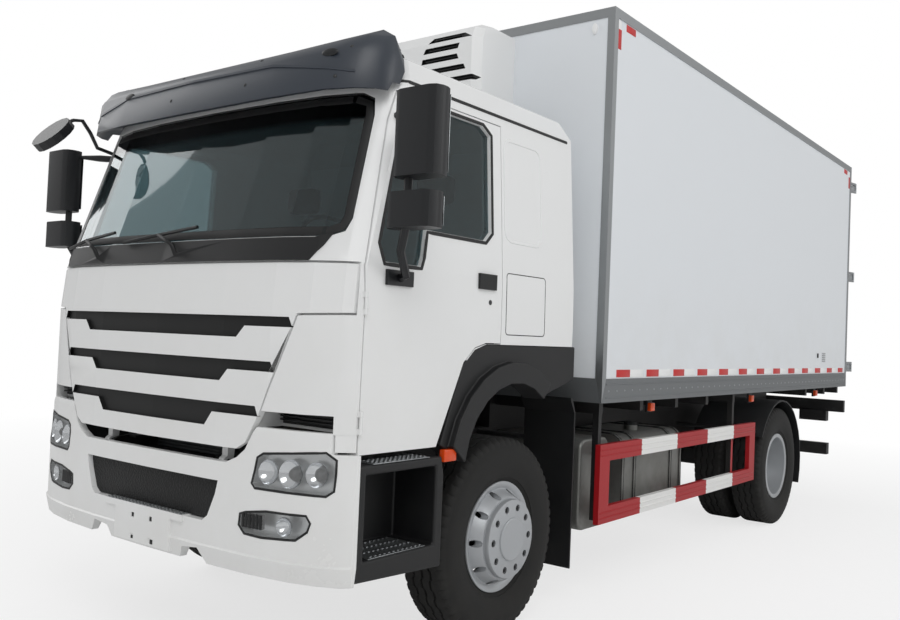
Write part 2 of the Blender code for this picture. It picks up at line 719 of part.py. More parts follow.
def side_tank(root, alloy):
    """The short round-cornered canister ahead of the fuel tank."""
    outline = rounded((CANISTER_FRONT, CANISTER_REAR), (CANISTER_BOTTOM, TANK_TOP + 0.01), 0.07, 4)
    canister = prism("x", outline, RAIL_X + FIT, TANK_OUT)
    finish(canister, "side_canister", alloy, root, True)


def battery_box(root, plastic):
    """The battery carrier on the right-hand side, under its ribbed lid."""
    rear = TANK_FRONT + TANK_LENGTH
    case = block((-BATTERY_OUT, -TANK_IN), (TANK_FRONT, rear), (TANK_BOTTOM, BATTERY_TOP))
    lid = block((-BATTERY_OUT - 0.012, -TANK_IN), (TANK_FRONT - 0.01, rear + 0.01),
                (BATTERY_TOP - 0.09, BATTERY_TOP + 0.02))
    finish(fuse(case, lid), "battery_box", plastic, root)


def side_guard(root, paint):
    """A pressed guard frame below the box side, hung from the cross bearers."""
    rear = GUARD_FRONT + GUARD_LENGTH
    inner = GUARD_X - GUARD_DEPTH
    plate = block((inner, GUARD_X), (GUARD_FRONT, rear), (GUARD_BOTTOM, GUARD_TOP))
    window = block((inner - 0.1, GUARD_X + 0.1), (GUARD_FRONT + 0.13, rear - 0.13),
                   (GUARD_BOTTOM + GUARD_RAIL, GUARD_TOP - GUARD_RAIL))
    carve(plate, window)
    for y in (bearer_places()[0], bearer_places()[4]):
        fuse(plate, block((inner - 0.04, inner + LAP), (y - 0.02, y + 0.02),
                          (GUARD_BOTTOM + 0.02, BEARER_BOTTOM - FIT)))
    pair(plate, "side_guard", paint, (root, root))


def bearer_places():
    """Where the cross bearers lie under the floor, leaving out the stretch over the rear wheels."""
    first = BOX_FRONT + 0.12
    before = [first + 0.58 * i for i in range(5)]
    after = [WHEELBASE + 0.85, BOX_REAR - 0.62, BOX_REAR - 0.10]
    return before + after


def rear_mudguards(root, plastic):
    """Rolled guards over the twin wheels, each on two arms from the frame."""
    width = (REAR_TRACK / 2 - TWIN_SPACING / 2 - TYRE_WIDTH / 2, REAR_TRACK / 2 + TWIN_SPACING / 2 + TYRE_WIDTH / 2)
    outer = arc((WHEELBASE, WHEEL_Z), MUDGUARD_RADIUS, 150, -20, 14)
    inner = arc((WHEELBASE, WHEEL_Z), MUDGUARD_RADIUS - 0.012, 150, -20, 14)
    guard = prism("x", outer + inner[::-1], width[0] + 0.01, width[1] + 0.01)
    for turn in (146, 34):
        y = WHEELBASE + (MUDGUARD_RADIUS + 0.012) * cos(radians(turn))
        z = WHEEL_Z + (MUDGUARD_RADIUS + 0.012) * sin(radians(turn))
        fuse(guard, drum((0, y, z), 0.02, RAIL_X + FIT, width[1] - 0.05, 10))
    pair(guard, "rear_mudguard", plastic, (root, root), True)


def front_flaps(root, rubber):
    """The mud flap behind each front wheel, on its bracket from the frame."""
    flap = block((0.80, 1.16), (FLAP_Y, FLAP_Y + 0.012), (0.24, 1.18))
    arm = drum((0, FLAP_Y + 0.02, 1.00), 0.018, RAIL_X + FIT, 1.14, 10)
    hood = prism("x", [(FLAP_Y + 0.012, 1.18), (FLAP_Y, 1.18), (FLAP_Y - 0.05, 1.26), (FLAP_Y - 0.05, 1.275),
                       (FLAP_Y - 0.03, 1.275)], 0.80, 1.16)
    pair(fuse(flap, arm, hood), "front_flap", rubber, (root, root))


# Cab skin

def cab_ring(z, half, front, rear, inset=0.0):
    """One level of the cab's plan: a bowed front, corners turned back to the doors, a flat rear."""
    plan = [(0.0, 0.0), (0.42, 0.010), (0.68, 0.036), (0.84, 0.080), (0.95, 0.145), (1.0, 0.212)]
    right = [(half * share, front + back) for share, back in plan]
    right += [(half, rear - 0.05), (half - 0.04, rear)]
    ring = right + [(-x, y) for x, y in reversed(right[1:])]
    if inset:
        ring = offset(ring, -inset)
    return [(x, y, z) for x, y in ring]


def cab_levels():
    """Height, half width, front and rear of the cab skin from the sill up to the crown of the roof."""
    return [(DOOR_SILL, 1.205, -1.465, CAB_REAR), (1.69, 1.212, -1.462, CAB_REAR), (1.925, 1.208, -1.440, CAB_REAR),
            (2.76, 1.155, -1.175, CAB_REAR), (2.82, 1.150, -1.145, CAB_REAR),
            (2.93, 1.085, -1.09, CAB_REAR - 0.04), (3.00, 0.94, -1.00, CAB_REAR - 0.13),
            (3.03, 0.70, -0.85, CAB_REAR - 0.28)]


def front_skin(x, z):
    """Where the cab's front skin lies at a distance from the middle and a height."""
    levels = cab_levels()
    for low, high in zip(levels, levels[1:]):
        if low[0] <= z <= high[0]:
            share = (z - low[0]) / (high[0] - low[0])
            ring = [(low[k] + (high[k] - low[k]) * share) for k in range(4)]
            plan = [point for point in cab_ring(ring[0], ring[1], ring[2], ring[3]) if point[0] >= 0][:6]
            for near, far in zip(plan, plan[1:]):
                if near[0] <= abs(x) <= far[0]:
                    return near[1] + (far[1] - near[1]) * (abs(x) - near[0]) / (far[0] - near[0])
    return levels[0][2]


def cab_volume(inset=0.0, run_out=0.0):
    """The space inside the cab's skin, drawn in by inset; run_out lengthens it past sill and roof."""
    rings = []
    levels = cab_levels()
    for z, half, front, rear in levels:
        drop = inset if z > 2.82 and (inset < 0 or not run_out) else 0.0
        rings.append(cab_ring(z - drop, half, front, rear, inset))
    if run_out:
        z, half, front, rear = levels[0]
        rings.insert(0, cab_ring(z - run_out, half, front, rear, inset))
    return loft(rings, split=True)


def cab_slice(outer, inner, axis, outline, low, high):
    """A panel cut from the cab's skin: what lies between two insets and inside an outline."""
    panel = carve(cab_volume(outer, run_out=0.2), cab_volume(inner, run_out=0.3))
    return keep(panel, prism(axis, outline, low, high))


def door_outline():
    """The shut line of the door in side view, cut away over the wheel."""
    return [(DOOR_FRONT, DOOR_SILL), (DOOR_FRONT, 1.91), (DOOR_FRONT + 0.185, 2.60), (DOOR_FRONT + 0.24, 2.745),
            (DOOR_REAR, 2.745), (DOOR_REAR, 1.590), (-0.315, 1.590), (-0.41, 1.565), (-0.50, 1.49), (-0.69, DOOR_SILL)]


def window_outline():
    """The side window, its lower edge stepped down behind the mirror."""
    return [(-1.145, 2.02), (-1.112, 1.938), (-0.865, 1.938), (-0.845, 1.985), (-0.82, BELT), (-0.335, BELT),
            (-0.28, BELT + 0.05), (-0.28, 2.675), (-0.35, 2.715), (-0.91, 2.715), (-0.96, 2.675)]


def screen_outline():
    """The windscreen opening in front view, the left half mirrored."""
    half = [(0, 2.74), (1.0, 2.735), (1.06, 2.705), (1.08, 2.62), (1.12, 2.12), (1.105, 2.06), (1.04, 2.035),
            (0, 2.033)]
    return half + [(-x, z) for x, z in reversed(half[1:-1])]


def front_panel_outline():
    """The front panel in front view: a full-width hood that narrows over the grille slots."""
    half = [(0, 1.915), (1.18, 1.915), (1.185, 1.70), (0.955, 1.69), (0.775, 1.235), (0.70, 1.10), (0.645, 1.068),
            (0, 1.065)]
    return half + [(-x, z) for x, z in reversed(half[1:-1])]


def floor_outline(rise):
    """What lies under the cab floor in side view: a low footwell ahead, a deck over the wheels."""
    return [(-2.0, 0.8), (-2.0, CAB_BOTTOM + rise), (-0.70 - rise * 0.6, CAB_BOTTOM + rise),
            (-0.55 - rise * 0.6, CAB_DECK + rise), (1.2, CAB_DECK + rise), (1.2, 0.8)]


def cab_shell(cab, paint):
    """The welded cab: skin, floor and roof as one hollow with its doorways and windscreen cut."""
    shell = carve(cab_volume(), prism("x", floor_outline(0.0), -1.5, 1.5))
    room = carve(cab_volume(CAB_WALL), prism("x", floor_outline(CAB_WALL), -1.5, 1.5))
    for side in (-1, 1):
        rear = DOOR_FRONT - SHUT - LAP
        foot = cab_slice(LAP, CAB_WALL - LAP, "x",
                         [(-1.7, PILLAR_BOTTOM), (rear, PILLAR_BOTTOM), (rear, CAB_BOTTOM + 0.05),
                          (-1.7, CAB_BOTTOM + 0.05)], side * (POD_HALF + 0.008), side * 1.5)
        fuse(shell, foot)
        carve(shell, block(sorted((side * CORNER_IN, side * POD_HALF)), (-1.7, CORNER_BACK), (1.0, CORNER_BOTTOM)))
        carve(room, block(sorted((side * (CORNER_IN - CAB_WALL), side * 1.5)), (-1.7, CORNER_BACK + CAB_WALL),
                          (1.0, CORNER_BOTTOM + CAB_WALL)))
    carve(shell, room)
    carve(shell, prism("y", screen_outline(), -1.7, -0.9))
    recess = carve(prism("y", offset(front_panel_outline(), PANEL_GAP), -1.7, PANEL_REAR + FIT),
                   cab_volume(PANEL_THICK + FIT * 2, run_out=0.2))
    carve(shell, recess)
    for side in (-1, 1):
        carve(shell, prism("x", offset(door_outline(), SHUT), side * 1.02, side * 1.5))
        carve(shell, prism("x", offset(cladding_outline(), FIT), side * (CLADDING_IN - FIT), side * 1.5))
        lug = prism("x", [(TILT_Y - 0.010, TILT_Z - 0.018), (TILT_Y + 0.022, TILT_Z - 0.018),
                          (TILT_Y + 0.05, CAB_BOTTOM + 0.02), (TILT_Y - 0.010, CAB_BOTTOM + 0.02)],
                    side * LUG_X, side * (LUG_X + LUG_THICK))
        boss = drum((0, TILT_Y, TILT_Z), 0.034, side * LUG_X, side * (LUG_X + LUG_THICK), 12)
        bore = drum((0, TILT_Y, TILT_Z), TILT_PIN + 0.0012, side * (LUG_X - 0.01),
                    side * (LUG_X + LUG_THICK + 0.01), 12)
        fuse(lug, boss)
        carve(lug, bore)
        fuse(shell, lug)
        for z in DOOR_HINGES:
            fuse(shell, door_hinge_half(side, z - 0.025, z - FIT),
                 door_hinge_half(side, z + DOOR_HINGE_HIGH + FIT, z + DOOR_HINGE_HIGH + 0.025))
    finish(shell, "cab_shell", paint, cab)


def door_hinge_half(side, low, high):
    """The fixed knuckle of a door hinge, on the front pillar."""
    foot = block(sorted((side * (DOOR_AXIS_X - 0.022), side * DOOR_AXIS_X)), (DOOR_AXIS_Y - 0.009, DOOR_AXIS_Y - 0.003),
                 (low, high))
    return fuse(foot, drum((side * DOOR_AXIS_X, DOOR_AXIS_Y, 0), DOOR_KNUCKLE, low, high, 6, "z"))


def cladding_outline():
    """The black arch panel in side view, under the white skin."""
    arch = arc((-0.05, 0.93), 0.45, 172, 52, 8)
    return [(-0.655, 1.085), (-0.497, 1.478), (-0.41, 1.553), (-0.31, 1.583), (CAB_REAR - 0.002, 1.583),
            (CAB_REAR - 0.002, 1.39)] + arch[::-1]


def arch_cladding(cab, plastic):
    """Arch panel with its raised flare, clipped on below the skin."""
    panel = prism("x", cladding_outline(), CLADDING_IN, 1.205)
    flare = prism("x", arc((-0.05, 0.93), 0.45, 172, 52, 8) + arc((-0.05, 0.93), 0.565, 52, 165, 8),
                  CLADDING_IN + 0.02, 1.245)
    fuse(panel, flare)
    pair(panel, "arch_cladding", plastic, (cab, cab))


def windscreen(cab, glass):
    pane = cab_slice(0.012, 0.012 + GLASS, "y", offset(screen_outline(), -FIT), -1.7, -0.9)
    finish(pane, "windscreen", glass, cab)


def front_panel(cab, paint):
    """The pressed panel under the windscreen with its three stepped slots."""
    panel = cab_slice(0.0, PANEL_THICK, "y", front_panel_outline(), -1.7, PANEL_REAR)
    for top, half, notch, depth, deep in SLOTS:
        outline = [(half, top), (half + 0.02, top - depth), (notch, top - depth), (notch - 0.05, top - deep)]
        outline = outline + [(-x, z) for x, z in reversed(outline)]
        slot = carve(prism("y", outline, -1.7, -1.2), cab_volume(0.018, run_out=0.2))
        carve(panel, slot)
    thinned = keep(cab_volume(PANEL_LIP, run_out=0.2), block((-1, 1), (-1.7, -1.0), (1.0, 1.11)))
    carve(panel, thinned)
    finish(panel, "front_panel", paint, cab)


def cowl(cab, plastic):
    """The black strip under the windscreen with the two wipers parked on it."""
    strip = cab_volume(-0.010, run_out=0.2)
    carve(strip, cab_volume(-FIT, run_out=0.3))
    half = [(0, 2.03), (0.99, 2.032), (1.06, 2.05), (1.035, 1.995), (0.985, 1.925), (0, 1.925)]
    keep(strip, prism("y", half + [(-x, z) for x, z in reversed(half[1:-1])], -1.7, -1.15))
    for x in (-0.62, 0.10):
        foot = Vector((x, front_skin(x, 1.962) - 0.008, 1.962))
        knee = foot + Vector((0.02, -0.032, 0.045))
        tip = Vector((x - 0.16, front_skin(x - 0.16, 2.067) - 0.03, 2.067))
        left = Vector((x - 0.46, front_skin(x - 0.46, 2.037) - 0.03, 2.037))
        right = Vector((x + 0.14, front_skin(x + 0.14, 2.097) - 0.03, 2.097))
        fuse(strip, pipe([foot + Vector((0, 0.004, 0)), knee, tip], 0.011, 6), rod(left, tip, 0.009, 6),
             rod(tip, right, 0.009, 6))
    carve(strip, cab_volume(-FIT, run_out=0.3))
    finish(strip, "cowl_and_wipers", plastic, cab)


def sun_visor(cab, plastic):
    """The moulded visor over the windscreen, seated on the roof's front."""
    profile = [(0.0, 2.692), (0.05, 2.875), (0.165, 2.955), (0.365, 3.012), (0.565, 2.90), (0.415, 2.78),
               (0.165, 2.77), (0.02, 2.690)]
    half = [(1.145, 0.285, 0.40, 0.55), (1.12, 0.225, 0.42, 0.86), (1.05, 0.155, 0.45, 1.0), (0.93, 0.09, 0.50, 1.0),
            (0.6, 0.03, 0.565, 1.0)]
    middle = [(0.0, 0.0, 0.565, 1.0)]
    rings = []
    for x, front, rear, share in [(-x, *rest) for x, *rest in half] + middle + half[::-1]:
        lip = 2.692 + 0.035 * (x / 1.13) ** 2
        rings.append([(x, -1.365 + front + y * (rear - front) / 0.565, lip + (z - 2.692) * share)
                      for y, z in profile])
    visor = carve(loft(rings), cab_volume(-FIT, run_out=0.1))
    finish(visor, "sun_visor", plastic, cab)


def dashboard(cab, plastic):
    """Dashboard across the cab with the steering column and wheel."""
    room = carve(cab_volume(CAB_WALL + FIT), prism("x", floor_outline(CAB_WALL + FIT), -1.5, 1.5))
    dash = keep(room, prism("x", [(-1.6, 1.60), (-1.6, 1.93), (-1.05, 1.93), (-0.93, 1.86), (-0.93, 1.66),
                                  (-1.05, 1.56)], -1.06, 1.06))
    hub = Vector((WHEEL_X, -0.74, 2.04))
    lean = Matrix.Translation(hub) @ Matrix.Rotation(radians(-42), 4, "X")
    ring = lathe([(0.235 + 0.014 * cos(2 * pi * i / 4), 0.014 * sin(2 * pi * i / 4)) for i in range(4)],
                 (0, 0, 0), 16, "z")
    spokes = block((-0.235, 0.235), (-0.025, 0.025), (-0.01, 0.01))
    pad = drum((0, 0, 0), 0.06, -0.02, 0.02, 12, "z")
    fuse(ring, spokes, pad)
    ring.data.transform(lean)
    column = rod(hub, (WHEEL_X, -0.98, 1.80), 0.035, 8)
    finish(fuse(dash, column, ring), "dashboard", plastic, cab)


def seats(cab, cloth):
    base = SEAT_BASE
    outline = [(-0.46, base), (-0.46, base + 0.12), (-0.54, base + 0.16), (-0.54, base + 0.25), (-0.48, base + 0.27),
               (-0.13, base + 0.25), (-0.04, base + 0.80), (-0.01, base + 1.02), (0.05, base + 1.02),
               (0.08, base + 0.82), (0.02, base + 0.20), (-0.08, base + 0.12), (-0.08, base)]
    seat = prism("x", outline, WHEEL_X - 0.24, WHEEL_X + 0.24)
    pair(seat, "seat", cloth, (cab, cab))


def bunk(cab, cloth):
    bed = prism("x", rounded((0.13, CAB_REAR - CAB_WALL - 0.01), (SEAT_BASE, SEAT_BASE + 0.42), 0.04, 2), -1.0, 1.0)
    finish(bed, "bunk", cloth, cab)


def round_mirror(cab, plastic):
    """The round down-view mirror on its bent arm at the right end of the visor."""
    head = Vector(ROUND_MIRROR)
    bowl = drum((0, 0, 0), ROUND_MIRROR_R, -0.03, ROUND_MIRROR_BACK, ROUND_MIRROR_SIDES, "z")
    bowl.data.transform(Matrix.Translation(head) @ Matrix.Rotation(ROUND_MIRROR_LEAN, 4, "X"))
    arm = pipe([(-1.10, -1.05, 2.64), (-1.10, -1.17, 2.66), (-1.10, -1.22, 2.74), (-1.09, -1.28, 2.80),
                (-1.085, -1.34, 2.79), head + Vector((0, 0.06, 0.07))], 0.011, 6)
    carve(arm, cab_volume(-FIT, run_out=0.1))
    finish(fuse(bowl, arm), "round_mirror", plastic, cab, True)


# Doors

def door(hinge, paint):
    """A pressed door as thick as the whole leaf, its window cut, with its handle pull."""
    leaf = cab_slice(0.0, DOOR_THICK, "x", door_outline(), 1.03, 1.4)
    carve(leaf, prism("x", window_outline(), 0.9, 1.4))
    pull = block((1.19, 1.222), (-0.40, -0.25), (1.865, 1.945))
    fuse(leaf, pull)
    for z in DOOR_HINGES:
        strap = block((DOOR_AXIS_X - 0.022, DOOR_AXIS_X), (DOOR_AXIS_Y + 0.006, DOOR_AXIS_Y + 0.02),
                      (z, z + DOOR_HINGE_HIGH))
        knuckle_half = drum((DOOR_AXIS_X, DOOR_AXIS_Y, 0), DOOR_KNUCKLE, z, z + DOOR_HINGE_HIGH, 6, "z")
        fuse(leaf, fuse(strap, knuckle_half))
    pair(leaf, "door", paint, hinge)


def door_glass(hinge, glass):
    pane = cab_slice(0.02, 0.02 + GLASS, "x", offset(window_outline(), -FIT), 0.9, 1.4)
    pair(pane, "door_glass", glass, hinge)


def door_mirror(hinge, plastic):
    """Main and wide-angle housings on one upright, its feet on the door."""
    upright = pipe([(1.217, -1.02, 1.87), (1.27, -1.04, 1.88), (1.31, -1.13, 1.98), (MIRROR_X - 0.06, MIRROR_Y, 2.10),
                    (MIRROR_X - 0.06, MIRROR_Y, 2.63), (1.25, -1.06, 2.63), (1.10, -0.985, 2.62)], 0.02)
    foot = block((1.2, 1.225), (-1.11, -0.93), (1.835, 1.905))
    fuse(upright, foot)
    for low, high, near, far in ((2.29, 2.665, 0.115, 0.13), (2.07, 2.225, 0.14, 0.115)):
        outline = rounded((MIRROR_X - near, MIRROR_X + far), (MIRROR_Y - 0.065, MIRROR_Y + 0.055), 0.045, 2)
        fuse(upright, prism("z", outline, low, high))
    carve(upright, cab_volume(-FIT, run_out=0.1))
    pair(upright, "door_mirror", plastic, hinge)


# Front end on the chassis

def bumper_inside():
    """The back of the bumper in plan, from its end to the middle."""
    return [(BUMPER_HALF - BUMPER_WALL, STEP_FRONT - 0.005), (1.145, -1.285), (1.06, -1.322), (0.95, -1.355),
            (0.74, -1.393), (0.45, -1.412), (0, -1.420)]


def bumper_back(x):
    """Where the back of the bumper lies at a distance from the middle."""
    plan = bumper_inside()[::-1]
    for near, far in zip(plan, plan[1:]):
        if near[0] <= x <= far[0]:
            return near[1] + (far[1] - near[1]) * (x - near[0]) / (far[0] - near[0])
    return plan[-1][1]


def bumper_ring(z, out, half):
    """The bumper's plan at one height."""
    plan = [(0, -1.470), (0.45, -1.463), (0.75, -1.443), (0.97, -1.405), (1.10, -1.362), (1.19, -1.315),
            (half, -1.270), (half, STEP_FRONT - 0.005)]
    front = [(x, y - out) for x, y in plan[:-1]] + [plan[-1]]
    right = front + bumper_inside()
    return [(x, y, z) for x, y in right] + [(-x, y, z) for x, y in reversed(right[1:-1])]


def bumper_volume():
    return loft([bumper_ring(BUMPER_BOTTOM, -0.012, BUMPER_HALF - 0.01), bumper_ring(0.605, 0.009, BUMPER_HALF),
                 bumper_ring(0.612, 0.0, BUMPER_HALF), bumper_ring(0.93, 0.0, BUMPER_HALF),
                 bumper_ring(1.0, -0.008, BUMPER_HALF), bumper_ring(1.15, -0.010, BUMPER_HALF),
                 bumper_ring(POD_TOP, -0.018, BUMPER_HALF)])


def lamp_outline():
    return [(0.768, 0.93), (0.785, 1.04), (0.815, 1.058), (1.12, 1.088), (1.16, 1.06), (1.16, 0.935), (1.13, 0.912),
            (0.785, 0.912)]


def fog_outline():
    return [(0.700, 0.735), (0.705, 0.782), (0.74, 0.792), (0.85, 0.808), (1.05, 0.812), (1.068, 0.785),
            (1.055, 0.75), (1.005, 0.712), (0.83, 0.70), (0.735, 0.705)]


def bumper(root, paint):
    """The moulded bumper: lamp pockets, a stepped intake and a flat place for a number plate."""
    shell = bumper_volume()
    dip = [(0.58, BUMPER_MIDDLE_TOP), (0.65, 1.03), (0.70, 1.07), (0.74, 1.14), (0.765, POD_TOP + 0.01)]
    carve(shell, prism("y", dip + [(-x, z) for x, z in reversed(dip)], -1.6, -1.1))
    intake = [(-0.545, 0.912), (0.545, 0.912), (0.53, 0.85), (0.485, 0.745), (0.45, 0.718), (-0.45, 0.718),
              (-0.485, 0.745), (-0.53, 0.85)]
    carve(shell, prism("y", intake, -1.6, -1.1))
    for side in (-1, 1):
        carve(shell, block(sorted((side * POD_HALF, side * 1.3)), (-1.6, -1.1), (BUMPER_TOP, POD_TOP + 0.01)))
        for outline in (lamp_outline(), fog_outline()):
            carve(shell, prism("y", [(side * x, z) for x, z in outline], -1.6, -1.1))
        towing = [(side * x, z) for x, z in ((0.28, 0.50), (0.315, 0.575), (0.43, 0.588), (0.50, 0.50))]
        carve(shell, prism("y", towing, -1.6, -1.35))
    plate = block((-0.23, 0.23), (PLATE_Y, -1.43), (0.535, 0.695))
    for x in (-0.075, 0.075):
        for z in (0.56, 0.665):
            carve(plate, block((x - 0.012, x + 0.012), (PLATE_Y - 0.1, PLATE_Y + 0.006), (z - 0.012, z + 0.012)))
    tread = block((-0.32, 0.32), (PLATE_Y, -1.42), (0.69, 0.722))
    fuse(shell, plate, tread)
    finish(shell, "front_bumper", paint, root)


def lamps(root, lens):
    """Headlamps and fog lamps, each filling its pocket in the bumper."""
    for name, outline in (("headlamp", lamp_outline()), ("fog_lamp", fog_outline())):
        lamp = keep(bumper_volume(), prism("y", offset(outline, -FIT), -1.6, -1.1))
        pair(lamp, name, lens, (root, root))


def steps(root, plastic):
    """The moulded step well under each door: a top tread, a lower tread and closed sides."""
    well = prism("x", [(STEP_FRONT, BUMPER_BOTTOM + 0.01), (STEP_FRONT, STEP_TOP), (STEP_REAR - 0.02, STEP_TOP),
                       (STEP_REAR, 0.95), (STEP_REAR, 0.505)], STEP_IN, STEP_OUT)
    carve(well, block((STEP_IN + 0.03, 1.4), (-1.19, -0.70), (0.62, STEP_TOP - 0.045)))
    pair(well, "step_well", plastic, (root, root))


# Box body

def box_volume(inset):
    return block((-BOX_HALF + inset, BOX_HALF - inset), (BOX_FRONT + inset, BOX_REAR - inset),
                 (BOX_BOTTOM + inset, BOX_TOP - inset))


def box_edges(root, alloy):
    """The aluminium extrusions along the box's twelve edges."""
    cage = carve(box_volume(0.0), box_volume(EDGE_PLATE))
    low = BOX_BOTTOM + BOTTOM_RAIL
    high = BOX_TOP - TOP_RAIL
    front = BOX_FRONT + POST_WIDTH
    rear = BOX_REAR - POST_WIDTH
    side = BOX_HALF - POST_WIDTH
    carve(cage, block((-BOX_HALF - 1, BOX_HALF + 1), (front, rear), (low, high)))
    carve(cage, block((-side, side), (BOX_FRONT - 1, BOX_REAR + 1), (low, high)))
    carve(cage, block((-side, side), (front, rear), (BOX_BOTTOM - 1, BOX_TOP + 1)))
    for end in (-1, 1):
        for z in hinge_heights():
            fuse(cage, *rear_hinge_bracket(end, z))
    finish(cage, "box_edges", alloy, root)


def box_shell(root, paint):
    """Insulated floor, walls and roof in one shell, open at the rear doorway."""
    shell = box_volume(EDGE_PLATE + FIT)
    carve(shell, block((-BOX_HALF + BOX_WALL, BOX_HALF - BOX_WALL), (BOX_FRONT + BOX_WALL, BOX_REAR + 1),
                       (BOX_BOTTOM + BOX_WALL + 0.04, BOX_TOP - BOX_WALL)))
    finish(shell, "box_shell", paint, root)


def box_bearers(root, steel):
    """Long sills on the side members and the cross bearers on them, under the floor."""
    under = BOX_BOTTOM - FIT
    bearers = None
    for side in (-1, 1):
        sill = block(sorted((side * (RAIL_X - RAIL_FLANGE), side * RAIL_X)), (BOX_FRONT + 0.02, RAIL_REAR - 0.02),
                     (RAIL_TOP + FIT, under))
        if bearers is None:
            bearers = sill
            for y in bearer_places():
                fuse(bearers, block((-1.21, 1.21), (y - BEARER_WIDTH / 2, y + BEARER_WIDTH / 2),
                                    (BEARER_BOTTOM, under)))
        else:
            fuse(bearers, sill)
    finish(bearers, "box_bearers", steel, root)


def box_doors(hinges, paint):
    """Two leaves that close the rear, each with two lock rods, keepers and three hinges."""
    leaf = block((MEET_GAP / 2, BOX_HALF - 0.03), (REAR_DOOR_IN, REAR_DOOR_OUT), (BOX_BOTTOM + 0.06, BOX_TOP - 0.03))
    for x in (0.32, 0.90):
        fuse(leaf, rod((x, REAR_DOOR_OUT + 0.020, BOX_BOTTOM + 0.02), (x, REAR_DOOR_OUT + 0.020, BOX_TOP - 0.01),
                       LOCK_ROD, 6))
        for z in (BOX_BOTTOM + 0.25, BOX_BOTTOM + 1.2, BOX_TOP - 0.3):
            fuse(leaf, block((x - 0.04, x + 0.04), (REAR_DOOR_OUT - LAP, REAR_DOOR_OUT + 0.03), (z - 0.03, z + 0.03)))
    for z in hinge_heights():
        strap = prism("z", [(BOX_HALF - 0.20, REAR_DOOR_OUT - LAP), (BOX_HALF - 0.20, REAR_DOOR_OUT + 0.008),
                            (BOX_HALF - 0.04, REAR_DOOR_OUT + 0.008), (REAR_HINGE_X - 0.006, REAR_HINGE_Y + 0.008),
                            (REAR_HINGE_X, REAR_HINGE_Y - 0.004), (BOX_HALF - 0.033, REAR_DOOR_OUT - LAP)],
                      z - 0.03, z + 0.03)
        fuse(leaf, strap, drum((REAR_HINGE_X, REAR_HINGE_Y, 0), REAR_HINGE_R, z - 0.03, z + 0.03,
                              REAR_HINGE_SIDES, "z"))
    pair(leaf, "box_door", paint, hinges)


def hinge_heights():
    return [BOX_BOTTOM + 0.22, BOX_BOTTOM + BOX_HEIGHT / 2, BOX_TOP - 0.22]


def rear_hinge_bracket(side, z):
    """The fixed half of one rear hinge: two knuckles, above and below the leaf's own."""
    x = REAR_HINGE_X
    plate = [(x - 0.038, BOX_REAR - 0.004), (x - 0.016, BOX_REAR - 0.004), (x + 0.008, REAR_HINGE_Y),
             (x - 0.006, REAR_HINGE_Y + 0.004), (x - 0.038, REAR_HINGE_Y - 0.07)]
    halves = []
    for low in (z - 0.055, z + 0.03 + FIT):
        high = low + 0.025 - FIT
        knuckle_half = drum((side * x, REAR_HINGE_Y, 0), REAR_HINGE_R, low, high, REAR_HINGE_SIDES, "z")
        halves.append(fuse(prism("z", [(side * u, v) for u, v in plate], low, high), knuckle_half))
    return halves


def cooling_unit(root, paint):
    """The cooling unit on the box's front wall, over the cab roof."""
    rear = BOX_FRONT + EDGE_PLATE
    profile = [(UNIT_FRONT + 0.06, UNIT_BOTTOM), (UNIT_FRONT + 0.01, UNIT_BOTTOM + 0.04),
               (UNIT_FRONT, UNIT_BOTTOM + 0.12), (UNIT_FRONT, UNIT_TOP - 0.10), (UNIT_FRONT + 0.03, UNIT_TOP - 0.03),
               (UNIT_FRONT + 0.10, UNIT_TOP), (rear, UNIT_TOP), (rear, UNIT_BOTTOM)]
    middle = (UNIT_BOTTOM + UNIT_TOP) / 2
    rings = []
    for x, draw in ((-UNIT_HALF, 0.05), (-UNIT_HALF + 0.05, 0.0), (UNIT_HALF - 0.05, 0.0), (UNIT_HALF, 0.05)):
        rings.append([(x, min(y + draw, rear), middle + (z - middle) * (1 - draw)) for y, z in profile])
    unit = loft(rings)
    for drop, inner_top, outer_top, inner_foot, outer_foot in LOUVRES:
        top = UNIT_TOP - drop
        foot = top - LOUVRE_HEIGHT
        for side in (-1, 1):
            slot = [(side * inner_top, top), (side * outer_top, top), (side * outer_foot, foot),
                    (side * inner_foot, foot)]
            carve(unit, prism("y", slot, UNIT_FRONT - 0.1, UNIT_FRONT + LOUVRE_DEPTH))
    finish(unit, "cooling_unit", paint, root)


